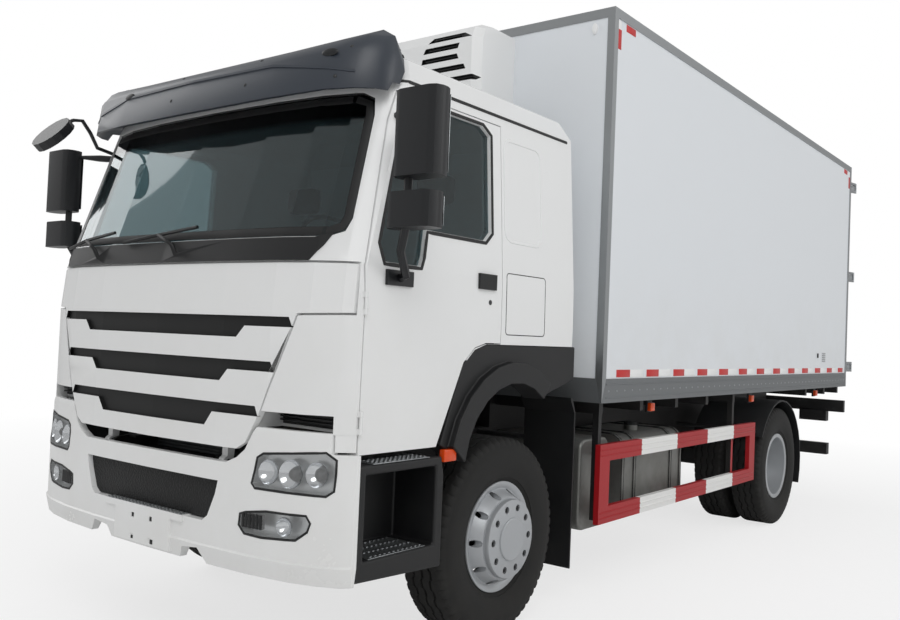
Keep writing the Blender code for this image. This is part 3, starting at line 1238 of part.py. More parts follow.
def main():
    clear_scene()
    steel = material("painted steel", (0.03, 0.03, 0.032), 0.6)
    paint = material("white paint", (0.78, 0.79, 0.80), 0.35)
    rubber = material("rubber", (0.03, 0.03, 0.03), 0.85)
    rim_paint = material("silver wheel paint", (0.55, 0.56, 0.58), 0.4, 0.6)
    iron = material("cast iron", (0.05, 0.05, 0.05), 0.7)
    alloy = material("aluminium", (0.60, 0.61, 0.62), 0.35, 1.0)
    plastic = material("black plastic", (0.025, 0.026, 0.028), 0.6)
    slate = material("slate plastic", (0.05, 0.055, 0.065), 0.45)
    guard_paint = material("red and white guard paint", (0.55, 0.03, 0.03), 0.5)
    glass = material("tinted glass", (0.04, 0.06, 0.06), 0.05)
    lens = material("lamp lens", (0.6, 0.6, 0.6), 0.1)
    cloth = material("grey cloth", (0.12, 0.12, 0.13), 0.9)

    root = axis_point("truck_axis", (0, 0, 0))
    root.location = (0, AXLE_TO_MIDDLE, 0)
    steer = (axis_point("steer_axis_left", (KINGPIN_X, 0, WHEEL_Z), root),
             axis_point("steer_axis_right", (-KINGPIN_X, 0, WHEEL_Z), root))
    cab = axis_point("cab_tilt_axis", (0, TILT_Y, TILT_Z), root)
    door_hinges = (axis_point("door_axis_left", (DOOR_AXIS_X, DOOR_AXIS_Y, 1.5), cab),
                   axis_point("door_axis_right", (-DOOR_AXIS_X, DOOR_AXIS_Y, 1.5), cab))
    box_hinges = (axis_point("box_door_axis_left", (REAR_HINGE_X, REAR_HINGE_Y, 2.4), root),
                  axis_point("box_door_axis_right", (-REAR_HINGE_X, REAR_HINGE_Y, 2.4), root))

    front_wheels(steer, rubber, rim_paint)
    rear_wheels(root, rubber, rim_paint)
    front_axle(root, steel)
    rear_axle(root, steel)
    knuckle(steer, steel)
    track_rod(steer, steel)
    chassis_frame(root, steel)
    engine(root, iron)
    radiator(root, iron)
    fuel_tank(root, alloy)
    side_tank(root, alloy)
    battery_box(root, plastic)
    side_guard(root, guard_paint)
    rear_mudguards(root, plastic)
    front_flaps(root, plastic)
    bumper(root, paint)
    lamps(root, lens)
    steps(root, plastic)
    box_shell(root, paint)
    box_edges(root, alloy)
    box_bearers(root, steel)
    box_doors(box_hinges, paint)
    cooling_unit(root, paint)
    cab_shell(cab, paint)
    arch_cladding(cab, plastic)
    windscreen(cab, glass)
    front_panel(cab, paint)
    cowl(cab, plastic)
    sun_visor(cab, slate)
    dashboard(cab, plastic)
    seats(cab, cloth)
    bunk(cab, cloth)
    round_mirror(cab, plastic)
    door(door_hinges, paint)
    door_glass(door_hinges, glass)
    door_mirror(door_hinges, plastic)


main()
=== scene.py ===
"""A two-axle refrigerated box truck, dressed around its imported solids, on a pale studio floor.

Metres. The truck stands along Y with its nose towards -Y; +X is its left side. Lengths along the
truck are given from its front axle, as a body builder gives them.
"""
from math import cos, sin, pi, radians

import bmesh
import bpy
from mathutils import Matrix, Vector
from mathutils.bvhtree import BVHTree


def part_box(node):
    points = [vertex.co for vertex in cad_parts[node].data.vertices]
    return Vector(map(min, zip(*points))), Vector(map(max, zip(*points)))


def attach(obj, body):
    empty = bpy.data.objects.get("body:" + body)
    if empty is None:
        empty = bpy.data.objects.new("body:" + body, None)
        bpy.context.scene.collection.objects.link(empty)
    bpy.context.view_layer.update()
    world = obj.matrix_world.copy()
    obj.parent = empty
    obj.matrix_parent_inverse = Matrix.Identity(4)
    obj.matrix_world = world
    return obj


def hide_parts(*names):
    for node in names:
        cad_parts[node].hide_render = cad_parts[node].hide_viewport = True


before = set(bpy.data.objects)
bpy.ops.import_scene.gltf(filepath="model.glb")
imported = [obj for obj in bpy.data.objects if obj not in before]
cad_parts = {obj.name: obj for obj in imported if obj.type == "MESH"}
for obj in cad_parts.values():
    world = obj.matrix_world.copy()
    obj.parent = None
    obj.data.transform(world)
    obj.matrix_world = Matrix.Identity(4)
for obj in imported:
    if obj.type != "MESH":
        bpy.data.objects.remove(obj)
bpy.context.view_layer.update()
scene = bpy.context.scene
scene.view_settings.view_transform = "Standard"

# Camera: eye height off the truck's left front corner, a little above the floor's level line.
EYE = (3.886, -6.6835, 1.614)
YAW, PITCH, ROLL = 0.6573, 0.0299, 0.0415
camera = bpy.data.objects.new("camera", bpy.data.cameras.new("camera"))
scene.collection.objects.link(camera)
camera.data.sensor_width = 36
FRAME_WIDE, FRAME_HIGH = 900, 620
camera.data.lens = 35.85
camera.data.clip_end = 200
camera.matrix_world = (Matrix.Translation(EYE) @ Matrix.Rotation(YAW, 4, "Z")
                       @ Matrix.Rotation(pi / 2 + PITCH, 4, "X") @ Matrix.Rotation(ROLL, 4, "Z"))
scene.camera = camera


def shade(code):
    """A colour written as sRGB hex, in the linear light that a shader takes."""
    levels = [int(code[i:i + 2], 16) / 255 for i in (0, 2, 4)]
    linear = [c / 12.92 if c <= 0.04045 else ((c + 0.055) / 1.055) ** 2.4 for c in levels]
    return (*linear, 1)


def add(tree, kind, settings=None, links=None):
    """Adds one shader node with its settings, and feeds its inputs from other nodes' outputs."""
    made = tree.nodes.new("ShaderNode" + kind)
    for key, value in (settings or {}).items():
        if isinstance(key, int) or key in made.inputs:
            made.inputs[key].default_value = value
        else:
            setattr(made, key, value)
    for key, source in (links or {}).items():
        tree.links.new(source, made.inputs[key])
    return made


# Studio: a pale painted floor that keeps the truck's shadow, and an even white surround.
# Away from the truck the floor fades to the white of the surround, so that no horizon shows.
floor_mesh = bpy.data.meshes.new("studio_floor")
floor_mesh.from_pydata([(x, y, 0) for x in (-60, 60) for y in (-60, 60)], [], [(0, 2, 3, 1)])
floor = bpy.data.objects.new("studio_floor", floor_mesh)
scene.collection.objects.link(floor)
floor_paint = bpy.data.materials.new("pale floor paint")
floor_paint.use_nodes = True
floor_tree = floor_paint.node_tree
painted = floor_tree.nodes["Principled BSDF"]
painted.inputs["Base Color"].default_value = shade("F4F4F4")
painted.inputs["Roughness"].default_value = 0.9
white = add(floor_tree, "Emission", {"Color": shade("FFFFFF"), "Strength": 1.0})
floor_ray = add(floor_tree, "LightPath")
plain = add(floor_tree, "Math", {"operation": "MAXIMUM"}, {0: floor_ray.outputs["Is Camera Ray"],
                                                           1: floor_ray.outputs["Is Transmission Ray"]})
reach = add(floor_tree, "VectorMath", {"operation": "LENGTH"},
            {0: add(floor_tree, "NewGeometry").outputs["Position"]})
fade = add(floor_tree, "MapRange", {"From Min": 4.0, "From Max": 11.0, "To Min": 0.72, "To Max": 1.0},
           {"Value": reach.outputs["Value"]})
share = add(floor_tree, "Math", {"operation": "MULTIPLY"}, {0: plain.outputs[0], 1: fade.outputs[0]})
both = add(floor_tree, "MixShader", {}, {0: share.outputs[0], 1: painted.outputs[0], 2: white.outputs[0]})
floor_tree.links.new(both.outputs[0], floor_tree.nodes["Material Output"].inputs["Surface"])
floor_mesh.materials.append(floor_paint)
world = bpy.data.worlds.new("white surround")
scene.world = world
world.use_nodes = True
world_tree = world.node_tree
world_tree.nodes.clear()
ray = add(world_tree, "LightPath")
seen = add(world_tree, "Math", {"operation": "MAXIMUM"}, {0: ray.outputs["Is Camera Ray"],
                                                          1: ray.outputs["Is Transmission Ray"]})
sky = add(world_tree, "Background", {"Color": shade("FFFFFF"), "Strength": 0.5})
backdrop = add(world_tree, "Background", {"Color": shade("FFFFFF"), "Strength": 1.0})
either = add(world_tree, "MixShader", {}, {0: seen.outputs[0], 1: sky.outputs[0], 2: backdrop.outputs[0]})
add(world_tree, "OutputWorld", {}, {"Surface": either.outputs[0]})

# Lights: a high overcast key ahead and to the left, and weaker fills along both sides.
LIGHTS = (("key_light", (9.0, -11.0, 12.0), (0, -1.0, 1.6), 9.0, 620),
          ("side_fill", (13.0, 5.0, 7.0), (0, 1.0, 1.5), 8.0, 300),
          ("far_fill", (-11.0, -4.0, 8.0), (0, 0.0, 1.5), 8.0, 260))
for name, place, aim, size, power in LIGHTS:
    lamp = bpy.data.objects.new(name, bpy.data.lights.new(name, "AREA"))
    scene.collection.objects.link(lamp)
    lamp.data.shape = "DISK"
    lamp.data.size = size
    lamp.data.energy = power
    lamp.location = place
    lamp.rotation_euler = (Vector(aim) - Vector(place)).to_track_quat("-Z", "Y").to_euler()

# The front axle's place along the truck, what counts as one corner or one flat face, and the two sides.
FRONT_AXLE = sum(corner.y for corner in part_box("front_tyre_left")) / 2
SAME_SPOT, SAME_PLANE = 1e-5, radians(1)
SIDES = ((1, "left"), (-1, "right"))


def at(x, y, z):
    """A place on the truck, with its length measured from the front axle."""
    return Vector((x, y + FRONT_AXLE, z))


def coat(name, colour, roughness, metallic=0.0, ior=None):
    """Starts a finish: its tree, its shader and the metre that its patterns are laid in."""
    made = bpy.data.materials.new(name)
    made.use_nodes = True
    tree = made.node_tree
    shader = tree.nodes["Principled BSDF"]
    shader.inputs["Base Color"].default_value = shade(colour)
    shader.inputs["Roughness"].default_value = roughness
    shader.inputs["Metallic"].default_value = metallic
    if ior:
        shader.inputs["IOR"].default_value = ior
    return made, tree, shader, add(tree, "TexCoord").outputs["Object"]


def dusted(finish, colour, dirt, amount, low, high, patch=3.0, rough=0.8):
    """Lays road dust on a finish: full at height low, gone at height high, broken up by soft patches."""
    tree, shader, metre = finish[1:]
    height = add(tree, "SeparateXYZ", {}, {0: metre}).outputs["Z"]
    fall = add(tree, "MapRange", {"From Min": low, "From Max": high, "To Min": amount, "To Max": 0.0},
               {"Value": height})
    cloud = add(tree, "TexNoise", {"Scale": patch, "Detail": 6.0, "Roughness": 0.65}, {"Vector": metre})
    soft = add(tree, "MapRange", {"From Min": 0.35, "From Max": 0.72}, {"Value": cloud.outputs["Fac"]})
    share = add(tree, "Math", {"operation": "MULTIPLY", "use_clamp": True},
                {0: fall.outputs[0], 1: soft.outputs[0]})
    tint = add(tree, "Mix", {"data_type": "RGBA", 6: shade(colour), 7: shade(dirt)}, {0: share.outputs[0]})
    tree.links.new(tint.outputs[2], shader.inputs["Base Color"])
    base = shader.inputs["Roughness"].default_value
    gloss = add(tree, "MapRange", {"To Min": base, "To Max": rough}, {"Value": share.outputs[0]})
    tree.links.new(gloss.outputs[0], shader.inputs["Roughness"])


def raised(finish, pattern, height):
    """Gives a finish the relief of a pattern, raised by a real height in metres."""
    tree, shader = finish[1:3]
    bump = add(tree, "Bump", {"Distance": height, "Strength": 1.0}, {"Height": pattern})
    tree.links.new(bump.outputs[0], shader.inputs["Normal"])


def grained(finish, size, height, stretch=(1, 1, 1)):
    """Gives a finish a grain with features of a real size in metres, raised by a real height."""
    laid = add(finish[1], "Mapping", {"Scale": stretch}, {"Vector": finish[3]})
    noise = add(finish[1], "TexNoise", {"Scale": 1 / size, "Detail": 2.0}, {"Vector": laid.outputs[0]})
    raised(finish, noise.outputs["Fac"], height)


def wear(made, *nodes):
    """Puts a finish on CAD nodes."""
    for node in nodes:
        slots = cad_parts[node].data.materials
        if len(slots):
            slots[0] = made
        else:
            slots.append(made)


def repaint(node, made, chosen):
    """Gives a second finish to the faces of a CAD node whose middle, from the front axle, is chosen."""
    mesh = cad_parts[node].data
    mesh.materials.append(made)
    for face in mesh.polygons:
        x, y, z = face.center
        if chosen(abs(x), y - FRONT_AXLE, z):
            face.material_index = len(mesh.materials) - 1


def rounded(solid, width, steps, angle):
    """Rounds an object's edges where its faces turn by more than an angle in degrees."""
    edge = solid.modifiers.new("rounded edges", "BEVEL")
    edge.width = width
    edge.segments = steps
    edge.limit_method = "ANGLE"
    edge.angle_limit = radians(angle)


def soften(width, *nodes, angle=25, steps=3):
    """Rounds the edges of CAD nodes, once their corners and flat faces are joined up."""
    for node in nodes:
        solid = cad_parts[node]
        solid.modifiers.new("joined corners", "WELD").merge_threshold = SAME_SPOT
        flat = solid.modifiers.new("flat faces", "DECIMATE")
        flat.decimate_type = "DISSOLVE"
        flat.angle_limit = SAME_PLANE
        flat.delimit = {"MATERIAL"}
        rounded(solid, width, steps, angle)


def fixed(name, shape, made, body, sharp=35):
    """Turns a shape into a piece of the truck: finished, smoothed and carried by its body."""
    bmesh.ops.recalc_face_normals(shape, faces=shape.faces)
    mesh = bpy.data.meshes.new(name)
    shape.to_mesh(mesh)
    shape.free()
    mesh.materials.append(made)
    mesh.shade_smooth()
    mesh.set_sharp_from_angle(angle=radians(sharp))
    piece = bpy.data.objects.new(name, mesh)
    scene.collection.objects.link(piece)
    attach(piece, body)
    return piece


def smoothed(node, made, body, width=0.0, steps=3, sharp=40, even=True):
    """Rebuilds a CAD node with its flat faces joined, its curves shaded as one and its edges rounded."""
    shape = bmesh.new()
    shape.from_mesh(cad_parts[node].data)
    bmesh.ops.remove_doubles(shape, verts=shape.verts, dist=SAME_SPOT)
    bmesh.ops.dissolve_limit(shape, angle_limit=SAME_PLANE, verts=shape.verts, edges=shape.edges)
    piece = fixed(node + "_skin", shape, made, body, 180 if width else sharp)
    if width:
        rounded(piece, width, steps, sharp)
    if even:
        piece.modifiers.new("even shading", "WEIGHTED_NORMAL").keep_sharp = True
    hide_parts(node)


def slab(shape, low, high, radius=0.002):
    """Adds a block with softened edges between two corners, given from the front axle."""
    low, high = at(*low), at(*high)
    middle, size = (low + high) / 2, high - low
    place = Matrix.Translation(middle) @ Matrix.Diagonal((*[abs(s) for s in size], 1))
    corners = bmesh.ops.create_cube(shape, size=1, matrix=place)["verts"]
    edges = list({edge for corner in corners for edge in corner.link_edges})
    bmesh.ops.bevel(shape, geom=edges, offset=radius, segments=2, affect="EDGES", profile=0.5)


# Frame, axles and brackets: pressed and forged steel, sprayed chassis black over its weld scale.
# Satin black with road dust that settles in soft patches, thickest low down.
chassis_black = coat("chassis black stove paint", "131314", 0.5, ior=1.5)
dusted(chassis_black, "131314", "3F3B35", 0.35, 0.2, 1.5)
grained(chassis_black, 0.012, 0.0006)
wear(chassis_black[0], "chassis_frame", "front_axle", "rear_axle", "knuckle_left", "knuckle_right",
     "track_rod", "box_bearers")

# Engine and radiator: a grey iron casting and a finned aluminium core, behind the intake.
# The casting is coarse from its sand mould; the core's fins are drawn at 16 mm so that they show.
cast_iron = coat("sand-cast grey iron", "3A3A39", 0.75, metallic=0.4)
dusted(cast_iron, "3A3A39", "5E564A", 0.6, 0.3, 1.6)
grained(cast_iron, 0.006, 0.001)
wear(cast_iron[0], "engine_block")
finned = coat("finned radiator core", "55585A", 0.5, metallic=0.8)
fins = add(finned[1], "TexWave", {"Scale": 20.0, "bands_direction": "Z"}, {"Vector": finned[3]})
raised(finned, fins.outputs["Fac"], 0.002)
wear(finned[0], "radiator")

# Tyres: steel-belted radials, their tread and shoulder lugs moulded in vulcanised rubber.
# Matt black, greyed on the walls by dust; three zigzag grooves run round each tread.
LUGS = 60
TREAD, TREAD_HALF, GROOVE_DEEP = 0.5366, 0.098, 0.012
WALL = ((0.102, 0.285), (0.1065, 0.301), (0.1125, 0.308), (0.121, 0.322), (0.1255, 0.324), (0.127, 0.334),
        (0.134, 0.352), (0.1415, 0.385), (0.1445, 0.42), (0.143, 0.452), (0.1375, 0.484), (0.1345, 0.488),
        (0.131, 0.508), (0.122, 0.527), (0.111, 0.5345))


def tyre_section(step):
    """The tyre's section at one of four steps across a lug; the last step is the gap to the next lug."""
    wander = 0.006 if step // 4 % 2 else -0.006
    gap = 0.012 if step % 4 == 3 else 0.0
    wall = [(along, radius - gap if radius > 0.5 else radius) for along, radius in WALL]
    tread = []
    for middle in (-0.055, 0.0, 0.055):
        groove = middle + wander
        tread += [(groove - 0.007, TREAD), (groove - 0.004, TREAD - GROOVE_DEEP),
                  (groove + 0.004, TREAD - GROOVE_DEEP), (groove + 0.007, TREAD)]
    far_wall = [(-along, radius) for along, radius in wall]
    return far_wall + [(-TREAD_HALF, TREAD)] + tread + [(TREAD_HALF, TREAD)] + wall[::-1]


def turned(shape, sections, place=Matrix()):
    """Adds a round body about X from its section at each step of the turn, closed both ways."""
    steps = len(sections)
    rings = []
    for step, section in enumerate(sections):
        turn = 2 * pi * step / steps
        rings.append([shape.verts.new(place @ Vector((along, radius * sin(turn), -radius * cos(turn))))
                      for along, radius in section])
    for step in range(steps):
        here, there = rings[step], rings[(step + 1) % steps]
        for i in range(len(here)):
            j = (i + 1) % len(here)
            shape.faces.new((here[i], here[j], there[j], there[i]))
    bmesh.ops.remove_doubles(shape, verts=shape.verts, dist=1e-6)


rubber = coat("vulcanised tyre rubber", "131312", 0.8, ior=1.52)
dusted(rubber, "131312", "3B3834", 0.35, -0.7, 0.6, patch=7.0, rough=0.95)
grained(rubber, 0.004, 0.0005)
tyre_shape = bmesh.new()
turned(tyre_shape, [tyre_section(step) for step in range(LUGS * 4)])
bmesh.ops.recalc_face_normals(tyre_shape, faces=tyre_shape.faces)
tyre_mesh = bpy.data.meshes.new("tyre")
tyre_shape.to_mesh(tyre_mesh)
tyre_shape.free()
tyre_mesh.materials.append(rubber[0])
tyre_mesh.shade_smooth()
tyre_mesh.set_sharp_from_angle(angle=radians(32))
for node, body in (("front_tyre", "front_wheel"), ("rear_tyre_outer", "rear_wheels"),
                   ("rear_tyre_inner", "rear_wheels")):
    for side in ("left", "right"):
        piece = bpy.data.objects.new("tread_" + node + "_" + side, tyre_mesh)
        low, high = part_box(node + "_" + side)
        piece.location = (low + high) / 2
        scene.collection.objects.link(piece)
        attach(piece, body + "_" + side)
        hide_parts(node + "_" + side)

# Wheels: pressed steel discs welded into rolled rims, sprayed silver, under a bolted hub cover in front.
# The enamel is fine-grained and dulled by brake dust; ten nuts hold each wheel on its studs.
RIM = [(0.15, 0.205), (0.06, 0.256), (0.045, 0.262), (-0.110, 0.262), (-0.116, 0.266), (-0.116, 0.296),
       (-0.114, 0.298), (-0.106, 0.298), (-0.104, 0.278), (0.104, 0.278), (0.106, 0.298), (0.110, 0.300),
       (0.116, 0.298), (0.1165, 0.292), (0.110, 0.270), (0.104, 0.262), (0.104, 0.257), (0.160, 0.229),
       (0.166, 0.222)]
STUDS, STUD_RING = 10, 0.168
HOLE_RING, HOLE_RADIUS = 0.241, 0.019
TWIN_HALF = 0.17


def ring_of(shape, count, ring, radius, low, high, sides):
    """Adds a ring of round or hexagonal plugs that lie along X."""
    for i in range(count):
        turn = 2 * pi * (i + 0.5) / count
        middle = Vector(((low + high) / 2, ring * sin(turn), ring * cos(turn)))
        place = Matrix.Translation(middle) @ Matrix.Rotation(pi / 2, 4, "Y")
        bmesh.ops.create_cone(shape, cap_ends=True, segments=sides, radius1=radius, radius2=radius,
                              depth=high - low, matrix=place)


def bored(shape, tool):
    """Takes the tool's volume out of a shape."""
    parts = []
    for volume in (shape, tool):
        bmesh.ops.recalc_face_normals(volume, faces=volume.faces)
        mesh = bpy.data.meshes.new("volume")
        volume.to_mesh(mesh)
        volume.free()
        parts.append(bpy.data.objects.new("volume", mesh))
        scene.collection.objects.link(parts[-1])
    cut = parts[0].modifiers.new("bore", "BOOLEAN")
    cut.operation = "DIFFERENCE"
    cut.object = parts[1]
    left = bpy.data.meshes.new_from_object(parts[0].evaluated_get(bpy.context.evaluated_depsgraph_get()))
    for part in parts:
        bpy.data.objects.remove(part, do_unlink=True)
    made = bmesh.new()
    made.from_mesh(left)
    return made


wheel_silver = coat("silver wheel enamel", "B4B7BA", 0.42, metallic=0.45)
dusted(wheel_silver, "B4B7BA", "7B766E", 0.7, -0.5, 0.45, patch=9.0)
grained(wheel_silver, 0.004, 0.0002)
nut_steel = coat("phosphated wheel nuts", "4A4B4C", 0.5, metallic=0.9)
grained(nut_steel, 0.003, 0.0003)
WHEEL_SIDES = 72
front_section = ([(-0.02, 0.0), (-0.02, 0.075), (0.15, 0.075)] + RIM
                 + [(0.167, 0.2125), (0.190, 0.2125), (0.196, 0.2095), (0.198, 0.203), (0.198, 0.122),
                    (0.200, 0.115), (0.207, 0.114), (0.2095, 0.110), (0.2095, 0.0)])
inner_rim = [(along - TWIN_HALF, radius) for along, radius in RIM]
outer_rim = [(TWIN_HALF - along, radius) for along, radius in RIM[::-1]]
rear_section = ([(-0.085, 0.0), (-0.085, 0.12), (-0.02, 0.12)] + inner_rim + [(-0.008, 0.12), (0.008, 0.12)]
                + outer_rim + [(0.02, 0.12), (0.095, 0.12), (0.100, 0.118), (0.102, 0.098), (0.118, 0.095),
                               (0.12, 0.090), (0.12, 0.0)])
for kind, section, hole, recess, nuts in (
        ("front", front_section, (0.05, 0.20), (0.176, 0.25), (0.174, 0.194)),
        ("rear", rear_section, (-0.02, 0.10), None, (0.018, 0.045))):
    wheel = bmesh.new()
    turned(wheel, [section] * WHEEL_SIDES)
    holes = bmesh.new()
    ring_of(holes, STUDS, HOLE_RING, HOLE_RADIUS, *hole, 20)
    if recess:
        ring_of(holes, STUDS, STUD_RING, HOLE_RADIUS, *recess, 20)
    wheel = bored(wheel, holes)
    bolts = bmesh.new()
    ring_of(bolts, STUDS, STUD_RING, 0.0135, *nuts, 6)
    ring_of(bolts, STUDS, STUD_RING, 0.007, nuts[1], nuts[1] + 0.006, 10)
    for side, flip in (("left", 0), ("right", pi)):
        for name, shape, made in (("disc", wheel, wheel_silver[0]), ("nuts", bolts, nut_steel[0])):
            body = "front_wheel_" + side if kind == "front" else "rear_wheels_" + side
            piece = fixed(f"{kind}_wheel_{name}_{side}", shape.copy(), made, body, 28)
            tyre = "front_tyre_" + side if kind == "front" else "rear_tyre_outer_" + side
            low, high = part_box(tyre)
            middle = (low + high) / 2
            if kind == "rear":
                middle.x -= TWIN_HALF * cos(flip)
            piece.data.transform(Matrix.Translation(middle) @ Matrix.Rotation(flip, 4, "Z"))
            if name == "disc":
                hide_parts(("front_rim_" if kind == "front" else "rear_rims_") + side)

# Black mouldings: polypropylene with a fine leather grain, greyed where the sun and grit reach it.
# Arch panels, flaps, mudguards, step wells, the cowl and the battery box are all this one dull black.
black_pp = coat("moulded black polypropylene", "101113", 0.5, ior=1.49)
dusted(black_pp, "101113", "302F2D", 0.3, 0.2, 1.8, patch=6.0)
grained(black_pp, 0.003, 0.0004)
wear(black_pp[0], "rear_mudguard_left", "rear_mudguard_right", "front_flap_left", "front_flap_right",
     "step_well_left", "step_well_right", "arch_cladding_left", "arch_cladding_right", "cowl_and_wipers",
     "battery_box")
soften(0.012, "step_well_left", "step_well_right")
smoothed("cowl_and_wipers", black_pp[0], "cab", even=False)
for side in ("_left", "_right"):
    smoothed("arch_cladding" + side, black_pp[0], "cab", 0.008, 2)
    smoothed("rear_mudguard" + side, black_pp[0], "chassis")

# Steps: pressed aluminium treads screwed on the black wells, raised in rows of teeth for grip.
# Bright where boots scrape them; an amber side lamp hangs behind the upper tread.
tread_plate = coat("toothed aluminium tread", "A5A8AA", 0.42, metallic=1.0)
grained(tread_plate, 0.008, 0.0008)
amber = coat("amber acrylic lamp", "DB4A14", 0.18, ior=1.49)
grained(amber, 0.006, 0.0006)
for side, name in SIDES:
    treads = bmesh.new()
    for low, high, top in ((1.115, 1.224, 1.038), (0.975, 1.215, 0.620)):
        slab(treads, (side * low, -1.15, top), (side * high, -0.755, top + 0.004), 0.0015)
        for i in range(12):
            for k in range(4):
                x = side * (low + 0.018 + k * (high - low - 0.036) / 3)
                y = -1.125 + i * 0.031
                slab(treads, (x - 0.005, y, top + 0.003), (x + 0.005, y + 0.014, top + 0.008), 0.001)
    fixed("step_treads_" + name, treads, tread_plate[0], "chassis")
    marker = bmesh.new()
    slab(marker, (side * 1.198, -0.652, 1.007), (side * 1.232, -0.555, 1.066), 0.005)
    fixed("side_lamp_" + name, marker, amber[0], "chassis")

# Tank, canister and box edges: aluminium sheet and extrusions in their mill finish.
# Fine rolling lines run along them; rubber strips edge the tank's straps.
mill_aluminium = coat("brushed mill aluminium", "A6A9AB", 0.42, metallic=1.0)
dusted(mill_aluminium, "A6A9AB", "77736B", 0.6, 0.4, 1.35)
grained(mill_aluminium, 0.006, 0.0003, stretch=(1, 0.06, 1))
wear(mill_aluminium[0], "box_edges")
# The tank and canister sheet is a darker grey than the box edges, and darker still towards its bottom.
tank_sheet = coat("darkened aluminium tank sheet", "8B8C89", 0.48, metallic=0.75)
dusted(tank_sheet, "8B8C89", "5E5B54", 0.7, 0.4, 1.2)
grained(tank_sheet, 0.006, 0.0003, stretch=(1, 0.06, 1))
smoothed("fuel_tank", tank_sheet[0], "chassis", 0.006, 2)
smoothed("side_canister", tank_sheet[0], "chassis", 0.018)
TANK_FRONT = 1.488


def hoop(shape, points, radius, sides):
    """Adds a round bar that follows points given from the front axle, closed to a ring."""
    spots = [at(*point) for point in points]
    circle = [2 * pi * k / sides for k in range(sides)]
    rings = []
    for i, spot in enumerate(spots):
        before, after = spots[i - 1], spots[(i + 1) % len(spots)]
        turn = Vector((0, 0, 1)).rotation_difference(after - before).to_matrix()
        rings.append([shape.verts.new(spot + turn @ Vector((radius * cos(angle), radius * sin(angle), 0)))
                      for angle in circle])
    for here, there in zip(rings, rings[1:] + rings[:1]):
        shift = min(range(sides), key=lambda s: (there[s].co - here[0].co).length)
        for k in range(sides):
            m = (k + 1) % sides
            shape.faces.new((here[k], here[m], there[(m + shift) % sides], there[(k + shift) % sides]))


def round_corners(low, high, radius):
    """The outline of a rectangle with round corners, four steps to a corner."""
    steps, points = 4, []
    for u, v, start in ((high[0] - radius, low[1] + radius, -90), (high[0] - radius, high[1] - radius, 0),
                        (low[0] + radius, high[1] - radius, 90), (low[0] + radius, low[1] + radius, 180)):
        for i in range(steps + 1):
            turn = radians(start + 90 * i / steps)
            points.append((u + radius * cos(turn), v + radius * sin(turn)))
    return points


STRAP_WIDE = 0.03
STRAP_OUTLINE = round_corners((0.5, 0.45), (1.106, 0.996), 0.103)
edging = bmesh.new()
for strap in (0.0, 0.18, 0.78, 0.96):
    for edge in (0.0, STRAP_WIDE):
        hoop(edging, [(x, TANK_FRONT + strap + edge, z) for x, z in STRAP_OUTLINE], 0.004, 6)
strap_rubber = coat("black strap rubber", "202122", 0.7, ior=1.52)
grained(strap_rubber, 0.003, 0.0003)
fixed("tank_strap_rubbers", edging, strap_rubber[0], "chassis")
cap = bmesh.new()
ribbed = [[(0.0, 0.0), (0.0, radius), (0.020, radius), (0.028, 0.038), (0.028, 0.0)]
          for radius in (0.046, 0.046 + 0.003) * 24]
turned(cap, ribbed,
       Matrix.Translation(at(0.93, TANK_FRONT + 0.47, 1.0255)) @ Matrix.Rotation(-pi / 2, 4, "Y"))
fixed("tank_cap_grip", cap, strap_rubber[0], "chassis")

# Side guards: pressed steel rails and posts, in red and white warning bands, on black hangers.
# Semi-gloss enamel with the slight ripple of a brushed coat; two pressed ribs stiffen each rail.
guard_enamel = coat("banded guard enamel", "A80F18", 0.45, ior=1.5)
along = add(guard_enamel[1], "SeparateXYZ", {}, {0: guard_enamel[3]}).outputs["Y"]
GUARD_FRONT, GUARD_LENGTH = 0.92, 2.825
reach_along = add(guard_enamel[1], "MapRange",
                  {"From Min": GUARD_FRONT + FRONT_AXLE, "From Max": GUARD_FRONT + GUARD_LENGTH + FRONT_AXLE},
                  {"Value": along})
bands = add(guard_enamel[1], "ValToRGB", {}, {"Fac": reach_along.outputs[0]})
bands.color_ramp.interpolation = "CONSTANT"
bands.color_ramp.elements[0].color = shade("A80F18")
bands.color_ramp.elements[1].position = 0.207
bands.color_ramp.elements[1].color = shade("ECECEA")
for place, colour in ((0.412, "A80F18"), (0.6145, "ECECEA"), (0.8138, "A80F18")):
    bands.color_ramp.elements.new(place).color = shade(colour)
guard_enamel[1].links.new(bands.outputs["Color"], guard_enamel[2].inputs["Base Color"])
grained(guard_enamel, 0.02, 0.0006)
wear(guard_enamel[0], "side_guard_left", "side_guard_right")
for side, name in SIDES:
    repaint("side_guard_" + name, chassis_black[0],
            lambda x, y, z: (z > 0.982 or x < 1.2045
                             or x < 1.2065 and min(abs(y - 0.963), abs(y - 3.283)) < 0.06))
    ribs = bmesh.new()
    for z in (0.515, 0.548, 0.905, 0.940):
        slab(ribs, (side * 1.238, GUARD_FRONT + 0.02, z),
             (side * 1.243, GUARD_FRONT + GUARD_LENGTH - 0.02, z + 0.01))
    fixed("guard_ribs_" + name, ribs, guard_enamel[0], "chassis")

